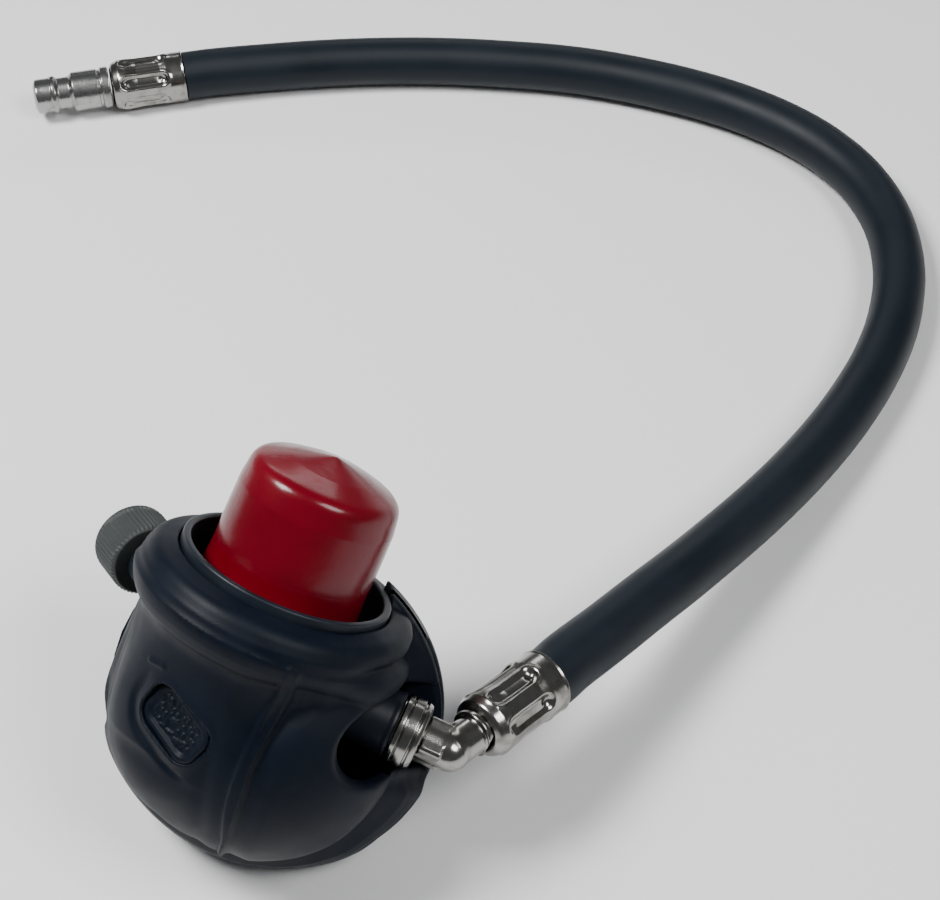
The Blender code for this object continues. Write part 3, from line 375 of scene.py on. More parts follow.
def stepped(points: list[Vector], spacing: float) -> list[Vector]:
    """Add points between any two that lie too far apart.

    Args:
        points: the points, in order.
        spacing: the greatest distance left.

    Returns:
        All the points.
    """
    fine: list[Vector] = []
    for start, end in zip(points, points[1:]):
        count = max(1, math.ceil((end - start).length / spacing))
        fine += [start.lerp(end, index / count) for index in range(count)]
    return fine + [points[-1]]


def lathe(
    name: str,
    profile: Sequence[Pair],
    place: Place,
    steps: int = 96,
    relief: Relief | None = None,
    loop: bool = True,
) -> Object:
    """Make a turned piece about the frame's Z.

    Args:
        name: the piece's name.
        profile: radius and height of each ring, outer side downwards.
        place: the frame.
        steps: facets round the axis.
        relief: gives what is added to the radius, from angle, height and radius.
        loop: whether the profile closes on itself, rather than at the axis.

    Returns:
        The new object.
    """
    rings = np.array(profile, float)
    angle = np.arange(steps) * 2 * math.pi / steps
    radius = np.repeat(rings[:, :1], steps, 1)
    height = np.repeat(rings[:, 1:], steps, 1)
    turn = np.repeat(angle[None], len(rings), 0)
    if relief is not None:
        radius = radius + relief(turn, height, radius)
    points = np.stack([radius * np.cos(turn), radius * np.sin(turn), height], -1).reshape(-1, 3)
    index = np.arange(len(rings) * steps).reshape(len(rings), steps)
    top = np.concatenate([index, index[:1]]) if loop else index
    a, b = top[:-1], top[1:]
    quads = np.stack([a, b, np.roll(b, -1, 1), np.roll(a, -1, 1)], -1).reshape(-1, 4)
    obj = new_object(name, quad_mesh(name, points, quads), place)
    weld = obj.modifiers.new("closed_axis", "WELD")
    weld.merge_threshold = 1e-6
    even = obj.modifiers.new("even_shading", "WEIGHTED_NORMAL")
    even.weight = 60
    return obj


def joined(a: np.ndarray, b: np.ndarray, radius: float | np.ndarray) -> np.ndarray:
    """Return the union of two fields, with a fillet of about the radius."""
    mix = np.clip(0.5 + 0.5 * (b - a) / radius, 0, 1)
    return b * (1 - mix) + a * mix - radius * mix * (1 - mix)


def both(a: np.ndarray, b: np.ndarray, radius: float | np.ndarray) -> np.ndarray:
    """Return what two fields share, with a round edge."""
    return -joined(-a, -b, radius)


def without(a: np.ndarray, b: np.ndarray, radius: float | np.ndarray) -> np.ndarray:
    """Return the first field with the second cut away, with a round edge."""
    return -joined(-a, b, radius)


def ramp(value: np.ndarray, start: float, end: float) -> np.ndarray:
    """Return 0 before start, 1 after end, and a smooth rise between."""
    t = np.clip((value - start) / (end - start), 0, 1)
    return t * t * (3 - 2 * t)


def bump(value: np.ndarray, width: float) -> np.ndarray:
    """Return a bell of height 1 at 0."""
    return np.exp(-((value / width) ** 2))


def along(value: np.ndarray, table: Table) -> np.ndarray:
    """Return a table's second column, read at values of its first."""
    return np.interp(value, *zip(*table))


def column(
    points: np.ndarray, radius: float, low: float, high: float, edge: float = 0.4
) -> np.ndarray:
    """Give the field of an upright cylinder with round edges.

    Args:
        points: where, in millimetres.
        radius: its radius.
        low: its foot.
        high: its top.
        edge: the rounding of its edges.

    Returns:
        The field, negative inside.
    """
    side = np.hypot(points[:, 0], points[:, 1]) - radius
    end = np.maximum(points[:, 2] - high, low - points[:, 2])
    return both(side, end, edge)


def local(points: np.ndarray, place: Place, inner: Place) -> np.ndarray:
    """Return points of one frame in another, all in millimetres."""
    matrix = np.array(inner.matrix.inverted() @ place.matrix)
    return points @ matrix[:3, :3].T + matrix[:3, 3] / MM


@dataclass(frozen=True)
class Bead:
    """A soft ridge beside a line, or a groove where its height is negative."""

    height: float
    at: float
    width: float

    def by(self, away: np.ndarray) -> np.ndarray:
        """Return how far it stands out, at distances from the line."""
        return self.height * bump(away - self.at, self.width)


@dataclass(frozen=True)
class PortNeck:
    """The neck that carries the mask port, wider towards its top."""

    radius: float = 20.6
    flare: float = 0.262
    slant: float = 1.034
    foot: float = -6.0
    top: float = 23.0

    def field(self, points: np.ndarray) -> np.ndarray:
        """Give its field.

        Args:
            points: where, in millimetres in the valve's frame.

        Returns:
            The field, negative inside.
        """
        height = points[:, 2]
        radius = np.hypot(points[:, 0] - PORT_SIDE, points[:, 1])
        side = (radius - self.radius - self.flare * (height - self.foot)) / self.slant
        return np.maximum(side, np.maximum(height - self.top, self.foot - height))


@dataclass(frozen=True)
class KnobRoom:
    """The space kept free round the knob's neck, and the narrower one round its stem."""

    top: float = 6.0
    neck_radius: float = 6.0
    neck_end: float = -15.8
    stem_radius: float = 4.2
    stem_end: float = -26.0

    def field(self, points: np.ndarray) -> np.ndarray:
        """Give its field.

        Args:
            points: where, in millimetres in the valve's frame.

        Returns:
            The field, negative inside.
        """
        turned = local(points, VALVE, KNOB)
        neck = column(turned, self.neck_radius, self.neck_end, self.top)
        return np.minimum(neck, column(turned, self.stem_radius, self.stem_end, self.top))


NECK = PortNeck()
KNOB_ROOM = KnobRoom()


# ---------------------------------------------------------------- finishes


class Nodes:
    """Adds nodes to one tree and links or sets their inputs."""

    tree: bpy.types.NodeTree

    def fill(self, node: bpy.types.Node, **inputs: Value) -> bpy.types.Node:
        """Link or set a node's inputs.

        Args:
            node: the node.
            inputs: sockets or values by the input's name, with _ for a space.

        Returns:
            The node.
        """
        for name, value in inputs.items():
            socket = node.inputs[name.replace("_", " ")]
            if isinstance(value, Socket):
                self.tree.links.new(value, socket)
            else:
                socket.default_value = value
        return node

    def add(self, kind: str, **inputs: Value) -> bpy.types.Node:
        """Return a new shader node of this kind, with its inputs linked or set."""
        return self.fill(self.tree.nodes.new("ShaderNode" + kind), **inputs)


class Effect(Nodes):
    """A node group that several finishes share, with a place in and one number out."""

    made: dict[str, bpy.types.NodeTree] = {}

    def __init__(self, name: str, output: str, **numbers: float) -> None:
        """Open the group.

        Args:
            name: the group's name.
            output: the name of what it gives.
            numbers: names and first values of the numbers it takes.
        """
        self.tree = bpy.data.node_groups.new(name, "ShaderNodeTree")
        sockets = self.tree.interface
        sockets.new_socket("Place", in_out="INPUT", socket_type="NodeSocketVector")
        for key, value in numbers.items():
            number = sockets.new_socket(key, in_out="INPUT", socket_type="NodeSocketFloat")
            number.default_value = value
        sockets.new_socket(output, in_out="OUTPUT", socket_type="NodeSocketFloat")
        self.taken = self.tree.nodes.new("NodeGroupInput").outputs
        self.end = self.tree.nodes.new("NodeGroupOutput")
        self.made[name] = self.tree

    def noise(
        self, lumps: float | Socket, detail: float, stretch: Triple | None = None
    ) -> Socket:
        """Add a noise over the place.

        Args:
            lumps: its scale.
            detail: its finer layers.
            stretch: the place's scale along each axis, where it is stretched.

        Returns:
            The noise, from 0 to 1.
        """
        place = self.taken["Place"]
        if stretch:
            place = self.add("Mapping", Vector=place, Scale=stretch).outputs["Vector"]
        noise = self.add("TexNoise", Vector=place, Scale=lumps, Detail=detail, Roughness=0.55)
        return noise.outputs["Fac"]

    def limits(self, value: Socket, low: float | Socket, high: float) -> Socket:
        """Return a mask that takes low to 0 and high to 1."""
        return self.add("MapRange", Value=value, From_Min=low, From_Max=high).outputs["Result"]

    def combined(self, operation: str, first: Socket, second: Socket) -> Socket:
        """Put two masks together.

        Args:
            operation: what the Math node does with them.
            first: one mask.
            second: the other.

        Returns:
            The new mask.
        """
        node = self.add("Math")
        node.operation = operation
        for mask, socket in zip((first, second), node.inputs):
            self.tree.links.new(mask, socket)
        return node.outputs["Value"]

    def give(self, value: Socket) -> None:
        """Link what the group gives."""
        self.tree.links.new(value, self.end.inputs[0])


def cloudy_tone() -> None:
    """Make the soft uneven tone, at a size in lumps per metre."""
    effect = Effect("cloudy_tone", "Tone", Lumps=60.0)
    effect.give(effect.limits(effect.noise(effect.taken["Lumps"], 4.0), 0.3, 0.7))


def moulded_grain() -> None:
    """Make the fine moulded grain, at a size in lumps per metre."""
    effect = Effect("moulded_grain", "Height", Lumps=2500.0)
    effect.give(effect.noise(effect.taken["Lumps"], 3.0))


def turned_lines() -> None:
    """Make the fine rings left by turning, round the piece's own axis."""
    effect = Effect("turned_lines", "Height", Lumps=1.0)
    effect.give(effect.noise(effect.taken["Lumps"], 2.0, (60, 60, 9000)))


def scuffs() -> None:
    """Make faint scuffs and short scratches that run two ways, in patches."""
    effect = Effect("scuffs", "Mask", Lumps=1.0)
    ways = [
        effect.limits(effect.noise(effect.taken["Lumps"], 3.0, stretch), 0.62, 0.75)
        for stretch in ((2600, 240, 300), (260, 300, 2400))]
    patches = effect.limits(effect.noise(45.0, 2.0), 0.5, 0.68)
    effect.give(effect.combined("MULTIPLY", effect.combined("MAXIMUM", *ways), patches))


def worn_and_highlit_edges() -> None:
    """Make the wear and the painted highlight on convex edges, from how sharply the surface
    turns.
    """
    effect = Effect("worn_and_highlit_edges", "Mask", Sharpness=0.54)
    # Convex edges are lightened: partly wear, partly a painted highlight along the ridges.
    sharp = effect.add("NewGeometry").outputs["Pointiness"]
    edge = effect.limits(sharp, effect.taken["Sharpness"], 0.62)
    patches = effect.limits(effect.noise(400.0, 3.0), 0.35, 0.65)
    effect.give(effect.combined("MULTIPLY", edge, patches))


class Painter(Nodes):
    """Builds one material's nodes."""

    def __init__(self, name: str, on_axis: bool = False) -> None:
        """Start a material with a Principled shader.

        Args:
            name: the material's name.
            on_axis: whether it follows the piece's own axis, rather than the row's.
        """
        self.material = bpy.data.materials.new(name)
        self.material.use_nodes = True
        self.tree = self.material.node_tree
        self.shader = self.tree.nodes["Principled BSDF"]
        if on_axis:
            reader = self.add("Attribute")
            reader.attribute_name = OWN_PLACE
            self.where = reader.outputs["Vector"]
        else:
            self.where = self.add("TexCoord").outputs["Object"]

    def set(self, **inputs: Value) -> None:
        """Link or set inputs of the shader, by name with _ for a space."""
        self.fill(self.shader, **inputs)

    def effect(self, name: str, **numbers: float) -> Socket:
        """Place a shared effect in this material.

        Args:
            name: the effect's name.
            numbers: this material's own numbers for it.

        Returns:
            What the effect gives.
        """
        node = self.add("Group")
        node.node_tree = Effect.made[name]
        return self.fill(node, Place=self.where, **numbers).outputs[0]

    def colours(self, mask: Socket, *stops: tuple[float, Triple]) -> Socket:
        """Spread colours over a mask.

        Args:
            mask: the mask.
            stops: values of the mask, from 0 to 1, each with its colour.

        Returns:
            The colours.
        """
        node = self.add("ValToRGB", Fac=mask)
        elements = node.color_ramp.elements
        while len(elements) < len(stops):
            elements.new(0.5)
        for element, (at, colour) in zip(elements, stops):
            element.position = at
            element.color = (*colour, 1)
        return node.outputs["Color"]

    def mix(self, mask: Socket, base: Socket, over: Triple) -> Socket:
        """Lay one colour over another by a mask.

        Args:
            mask: 1 where the upper colour shows.
            base: the colour below.
            over: the colour laid over it.

        Returns:
            The mixed colour.
        """
        node = self.add("Mix")
        node.data_type = "RGBA"
        return self.fill(node, Factor=mask, A=base, B=(*over, 1)).outputs["Result"]

    def span(self, mask: Socket, low: float, high: float) -> Socket:
        """Return a mask stretched between two values."""
        return self.add("MapRange", Value=mask, To_Min=low, To_Max=high).outputs["Result"]

    def relief(self, height: Socket, strength: float, depth: float) -> None:
        """Feed a height to the shader's normal, its depth in millimetres."""
        node = self.add("Bump", Strength=strength, Distance=depth * MM, Height=height)
        self.set(Normal=node.outputs["Normal"])


@dataclass(frozen=True)
class RubberFinish:
    """Moulded or extruded rubber."""

    dark: Triple
    light: Triple
    wear_and_highlight: Triple
    roughness: Pair = (0.42, 0.6)
    grain: float = 0.05
    lumps: float = 60.0
    shine: float = 0.13
    scuffed: float = 0.35
    edge_wear_and_sheen: float = 0.6

    def material(self, name: str) -> bpy.types.Material:
        """Make the rubber with uneven tone, grain, scuffs, and convex edges lightened for wear
        and a painted highlight.

        Args:
            name: the material's name.

        Returns:
            The material.
        """
        paint = Painter(name)
        tone = paint.effect("cloudy_tone", Lumps=self.lumps)
        colour = paint.colours(tone, (0.0, self.dark), (1.0, self.light))
        # The scuff colour is also laid on convex edges, as wear and as a painted highlight.
        for effect, strength in (("scuffs", self.scuffed), ("worn_and_highlit_edges", self.edge_wear_and_sheen)):
            mask = paint.span(paint.effect(effect), 0.0, strength)
            colour = paint.mix(mask, colour, self.wear_and_highlight)
        rough = paint.span(tone, *self.roughness)
        paint.set(Base_Color=colour, Roughness=rough, Specular_IOR_Level=self.shine)
        paint.relief(paint.effect("moulded_grain", Lumps=2500.0), 0.5, self.grain)
        return paint.material


@dataclass(frozen=True)
class PlasticFinish:
    """Moulded hard plastic."""

    dark: Triple
    light: Triple
    roughness: Pair = (0.35, 0.5)
    grain: float = 0.03
    shine: float = 0.3
    edge_wear_and_sheen: float = 0.5

    def material(self, name: str) -> bpy.types.Material:
        """Make the plastic with uneven tone, grain, and pale convex edges for wear and a painted
        highlight.

        Args:
            name: the material's name.

        Returns:
            The material.
        """
        paint = Painter(name)
        tone = paint.effect("cloudy_tone", Lumps=90.0)
        # Convex edges go towards a pale colour: wear and a painted highlight.
        pale = tuple(min(1, 3 * part) for part in self.light)
        edge = paint.span(paint.effect("worn_and_highlit_edges"), 0.0, self.edge_wear_and_sheen)
        colour = paint.colours(tone, (0.0, self.dark), (1.0, self.light))
        rough = paint.span(tone, *self.roughness)
        paint.set(
            Base_Color=paint.mix(edge, colour, pale), Roughness=rough,
            Specular_IOR_Level=self.shine)
        paint.relief(paint.effect("moulded_grain", Lumps=3000.0), 0.5, self.grain)
        return paint.material


@dataclass(frozen=True)
class VinylFinish:
    """Glossy dip-moulded vinyl."""

    deep: Triple
    bright: Triple
    roughness: Pair = (0.18, 0.27)
    shine: float = 0.34
    waves: float = 0.25

    def material(self, name: str) -> bpy.types.Material:
        """Make the vinyl: deep colour under a smooth, slightly wavy gloss.

        Args:
            name: the material's name.

        Returns:
            The material.
        """
        paint = Painter(name)
        tone = paint.effect("cloudy_tone", Lumps=45.0)
        colour = paint.colours(tone, (0.0, self.deep), (1.0, self.bright))
        rough = paint.span(tone, *self.roughness)
        paint.set(Base_Color=colour, Roughness=rough, Specular_IOR_Level=self.shine)
        paint.relief(paint.effect("moulded_grain", Lumps=160.0), 0.4, self.waves)
        return paint.material


@dataclass(frozen=True)
class MetalFinish:
    """Plated, turned or drawn metal."""

    colour: Triple
    stain: Triple
    roughness: Pair
    lines: float = 0.012
    on_axis: bool = False
    stained: float = 0.4

    def material(self, name: str) -> bpy.types.Material:
        """Make the metal with faint turning rings, stains and hairline wear.

        Args:
            name: the material's name.

        Returns:
            The material.
        """
        paint = Painter(name, self.on_axis)
        tone = paint.effect("cloudy_tone", Lumps=260.0)
        wear = paint.span(paint.effect("scuffs", Lumps=1.6), 0.0, self.stained)
        colour = paint.colours(
            tone, (0.0, self.stain), (0.55, self.colour), (1.0, self.colour))
        smooth, dull = self.roughness
        paint.set(
            Base_Color=paint.mix(wear, colour, self.stain), Metallic=1.0,
            Roughness=paint.span(tone, dull, smooth))
        paint.relief(paint.effect("turned_lines"), 0.5, self.lines)
        return paint.material


FINISHES: dict[Slot, RubberFinish | PlasticFinish | VinylFinish | MetalFinish] = {
    Slot.BOOT: RubberFinish(
        (0.0016, 0.0034, 0.0078), (0.0028, 0.0054, 0.0115), (0.010, 0.015, 0.022)),
    Slot.HOSE: RubberFinish(
        (0.0028, 0.0060, 0.0100), (0.0045, 0.0088, 0.0140), (0.012, 0.018, 0.024),
        roughness=(0.42, 0.56), grain=0.03, lumps=35.0, shine=0.22),
    Slot.SEAL: RubberFinish((0.01, 0.01, 0.011), (0.02, 0.02, 0.021), (0.04, 0.04, 0.04)),
    Slot.SILICONE: RubberFinish((0.38, 0.38, 0.36), (0.48, 0.48, 0.46), (0.6, 0.6, 0.58)),
    Slot.PLASTIC: PlasticFinish((0.0045, 0.0075, 0.0125), (0.0075, 0.011, 0.017)),
    Slot.CONNECTOR: PlasticFinish((0.010, 0.010, 0.013), (0.016, 0.016, 0.020)),
    Slot.KNOB: PlasticFinish((0.023, 0.027, 0.027), (0.036, 0.040, 0.039), (0.45, 0.6)),
    Slot.VINYL: VinylFinish((0.095, 0.0004, 0.005), (0.130, 0.0006, 0.007)),
    Slot.PLATED: MetalFinish(
        (0.31, 0.305, 0.288), (0.17, 0.163, 0.145), (0.15, 0.25), on_axis=True),
    Slot.PLUG: MetalFinish(
        (0.36, 0.36, 0.355), (0.24, 0.24, 0.23), (0.2, 0.3), lines=0.02, on_axis=True),
    Slot.STEEL: MetalFinish((0.58, 0.58, 0.58), (0.40, 0.39, 0.37), (0.24, 0.34)),
    Slot.BRASS: MetalFinish((0.72, 0.52, 0.24), (0.50, 0.34, 0.14), (0.22, 0.34)),
}


class Finishes:
    """The material of every slot, made once."""

    def __init__(self) -> None:
        """Make the shared effects, then the materials."""
        for make in (cloudy_tone, moulded_grain, turned_lines, scuffs, worn_and_highlit_edges):
            make()
        self.of = {slot: look.material(f"{slot.value}_look") for slot, look in FINISHES.items()}

    def coat(self, obj: Object, slot: Slot) -> None:
        """Give a piece or a CAD node the material of its slot."""
        obj.data.materials.clear()
        obj.data.materials.append(self.of[slot])

    def dress(self, obj: Object, slot: Slot, body: Body, *nodes: str) -> Object:
        """Give a piece its finish and its body, and hide the CAD nodes it stands for.

        Args:
            obj: the piece.
            slot: the record's slot that it takes its finish from.
            body: the body it rides on.
            nodes: the CAD nodes it replaces.

        Returns:
            The piece.
        """
        self.coat(obj, slot)
        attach(obj, body.value)
        if nodes:
            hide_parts(*nodes)
        LOG.info("%s rides on %s", obj.name, body.value)
        return obj


# ---------------------------------------------------------------- studio


@dataclass
class Studio:
    """Camera, floor and soft lights."""

    eye: Triple = (30.41, -237.98, 400.0)
    pitch: float = 40.0
    focal_px: float = 1990.0
    width_px: float = 940.0
    floor_half: float = 4000.0

    def camera(self) -> None:
        """Place the camera at the photograph's angle."""
        data = bpy.data.cameras.new("camera")
        data.sensor_width = 36.0
        data.lens = self.focal_px / self.width_px * data.sensor_width
        data.clip_start = 0.01
        camera = linked("camera", data)
        camera.location = Vector(self.eye) * MM
        camera.rotation_euler = (math.radians(self.pitch), 0, 0)
        bpy.context.scene.camera = camera

    def floor(self) -> None:
        """Lay a plain pale floor."""
        corners = np.array([(-1, -1, 0), (1, -1, 0), (1, 1, 0), (-1, 1, 0)], float)
        mesh = quad_mesh("floor", corners * self.floor_half, np.array([[0, 1, 2, 3]]))
        floor = new_object("floor", mesh, ROW)
        paint = Painter("pale_floor")
        paint.set(Roughness=0.7, Base_Color=(0.80, 0.80, 0.80, 1))
        floor.data.materials.append(paint.material)
        floor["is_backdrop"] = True

    def light(self, name: str, at: Triple, aim: Triple, size: Pair, power: float) -> None:
        """Hang a soft rectangular light.

        Args:
            name: its name.
            at: where it hangs, in millimetres.
            aim: the point it faces.
            size: its width and height in metres.
            power: its power in watts.
        """
        data = bpy.data.lights.new(name, "AREA")
        data.shape = "RECTANGLE"
        data.size, data.size_y = size
        data.energy = power
        lamp = linked(name, data)
        lamp.location = Vector(at) * MM
        lamp.rotation_euler = (Vector(aim) - Vector(at)).to_track_quat("-Z", "Y").to_euler()

    def lights(self) -> None:
        """Set the pale surroundings and the lights."""
        world = bpy.data.worlds.new("pale_room")
        world.use_nodes = True
        background = world.node_tree.nodes["Background"].inputs
        background["Color"].default_value = (0.80, 0.82, 0.85, 1)
        background["Strength"].default_value = 0.15
        bpy.context.scene.world = world
        self.light("key", (-420, 60, 800), (20, 90, 20), (0.3, 0.3), 12.0)
        self.light("fill", (520, -250, 850), (20, 90, 20), (0.4, 0.4), 7.0)
        self.light("back", (150, 1000, 420), (0, 60, 30), (0.7, 0.12), 1.3)

    def build(self) -> None:
        """Set up the whole studio."""
        self.camera()
        self.floor()
        self.lights()


# ---------------------------------------------------------------- hose and its ends


@dataclass
class SupplyHose:
    """The medium-pressure hose with both ferrules and the coupling plug."""

    finishes: Finishes
    radius: float = 7.2
    arm: float = 8.3
    gap: float = 0.3
    ferrule: float = 22.2
    lead: float = 3.0
    bore: float = 2.9
    plug_bore: float = 1.8
    # points of the centreline, in millimetres in the row frame
    route: tuple[Triple, ...] = (
        (52.5, 12.1, 28.6), (61.7, 22.1, 25.5), (71.0, 32.6, 22.3), (81.0, 43.5, 19.2),
        (91.0, 54.9, 16.1), (101.2, 66.8, 13.3), (111.4, 79.4, 10.8), (121.4, 92.8, 8.8),
        (130.8, 106.9, 7.6), (139.3, 121.9, 7.2), (146.1, 138.5, 7.2), (150.0, 157.0, 7.2),
        (149.6, 175.9, 7.2), (144.4, 193.0, 7.2), (135.5, 206.8, 7.2), (124.4, 217.6, 7.2),
        (111.9, 226.0, 7.2), (98.5, 232.6, 7.2), (84.7, 237.8, 7.2), (70.5, 242.0, 7.2),
        (56.0, 244.9, 7.2), (41.2, 246.6, 7.2), (26.4, 247.8, 7.2), (11.6, 248.2, 7.2),
        (-3.2, 247.8, 7.2), (-17.9, 246.7, 7.2), (-32.5, 244.9, 7.3), (-46.8, 242.7, 7.5))

    def line(self) -> list[Vector]:
        """Lay the centreline, a smooth curve through the route.

        Returns:
            Close points along it, in metres.
        """
        mouth = self.arm + 2 * self.gap + self.ferrule
        start = ARM.point((0, 0, mouth)) / MM
        straight = ARM.point((0, 0, mouth + self.lead)) / MM
        end = PLUG.point((0, 0, -self.gap)) / MM
        tail = PLUG.point((0, 0, -self.gap - self.lead)) / MM
        through = [start, straight] + [Vector(point) for point in self.route] + [tail, end]
        padded = [through[0] * 2 - through[1]] + through + [through[-1] * 2 - through[-2]]
        steps = 4
        fine: list[Vector] = []
        for a, b, c, d in zip(padded, padded[1:], padded[2:], padded[3:]):
            for index in range(steps):
                t = index / steps
                fine.append(0.5 * (2 * b + (c - a) * t + (2 * a - 5 * b + 4 * c - d) * t ** 2
                                   + (3 * b - a - 3 * c + d) * t ** 3))
        fine.append(through[-1])
        return [point * MM for point in fine]

    def hose(self, points: list[Vector]) -> Object:
        """Make the hose as a round curve.

        Args:
            points: its centreline.

        Returns:
            The hose.
        """
        curve = bpy.data.curves.new("supply_hose", "CURVE")
        curve.dimensions = "3D"
        curve.bevel_depth = self.radius * MM
        curve.bevel_resolution = 10
        curve.use_fill_caps = True
        spline = curve.splines.new("POLY")
        spline.points.add(len(points) - 1)
        for spot, point in zip(spline.points, points):
            spot.co = (*point, 1)
        spline.use_smooth = True
        hose = linked("supply_hose", curve)
        return self.finishes.dress(hose, Slot.HOSE, Body.HOSE, "hose")

    def crimped(self, node: str, place: Place, start: float, up: int, phase: float) -> Object:
        """Make a ferrule with six pressed slots.

        Args:
            node: the CAD node it replaces.
            place: its frame.
            start: height of its neck on the frame's axis.
            up: 1 where its mouth lies upwards, -1 downwards.
            phase: angle of the first slot in degrees.

        Returns:
            The ferrule.
        """
        profile = rounded([
            (self.bore, 0), (5.4, 0, 0.6), (6.7, 0.7, 1.2), (7.5, 2.6, 1.6), (7.45, 5.0, 2),
            (7.2, 8.0, 3), (7.2, 15.0, 3), (7.5, 17.0, 2), (7.5, 21.6, 0.4), (7.72, 22.2, 0.25),
            (7.3, 22.2), (7.2, 21.8), (self.bore, 21.8)], 0.35)
        placed = [(radius, start + up * height) for radius, height in profile]
        if up > 0:
            placed.reverse()
        sixth, outer, skin = math.pi / 3, 7.3, 6.4
        slot_from, slot_to, depth = 5.0, 15.2, 0.8
        swell = Bead(0.18, 2.5, 0.45)

        def slots(angle: np.ndarray, height: np.ndarray, radius: np.ndarray) -> np.ndarray:
            """Press the slots, each deeper at both its ends.

            Args:
                angle: angles round the axis.
                height: heights.
                radius: plain radii.

            Returns:
                What is added to the radius.
            """
            on = (height - start) * up
            turn = (angle - math.radians(phase)) / sixth
            side = (turn - np.round(turn)) * sixth * outer
            past = np.maximum(np.maximum(slot_from - on, on - slot_to), 0)
            away = np.hypot(side, past)
            dent = -depth * (1 - ramp(away, 1.1, 2.2)) + swell.by(away)
            ends = -0.55 * (bump(np.hypot(side, on - 4.4), 1.3)
                            + bump(np.hypot(side, on - 15.6), 1.1))
            pressed = np.where(radius > skin, dent + ends, 0)
            return pressed * ramp(on, 1.2, 2.6) * (1 - ramp(on, 18.5, 19.6))

        ferrule = lathe(f"{node}_crimped", placed, place, 240, slots)
        return self.finishes.dress(ferrule, Slot.PLATED, Body.HOSE, node)

    def plug(self) -> Object:
        """Make the coupling plug with its collar, groove, body, waist, ridge and tip.

        Returns:
            The plug.
        """
        base = self.ferrule + self.gap
        outline = [
            (self.plug_bore, 22.9), (3.6, 22.9, 0.4), (5.2, 22.2, 0.7), (5.2, 17.9, 0.3),
            (5.6, 17.3, 0.35), (5.6, 16.4, 0.35), (4.8, 15.6, 0.5), (4.8, 12.2, 0.6),
            (5.9, 11.1, 0.4), (5.9, 3.6, 0.2), (5.6, 3.3, 0.15), (5.6, 2.7, 0.15),
            (6.2, 2.3, 0.3), (6.2, 0.3, 0.3), (5.9, 0, 0.1), (self.plug_bore, 0)]
        profile = [(radius, base + height) for radius, height in rounded(outline)]
        plug = lathe("coupling_plug_turned", profile, PLUG)
        return self.finishes.dress(plug, Slot.PLUG, Body.HOSE, "coupling_plug")

    def build(self) -> None:
        """Make the hose and what is on it."""
        points = self.line()
        hose = self.hose(points)
        self.crimped("valve_end_ferrule", ARM, self.arm + self.gap, 1, 20.0)
        far = self.crimped("plug_end_ferrule", PLUG, self.ferrule, -1, 10.0)
        plug = self.plug()


# ---------------------------------------------------------------- rubber front


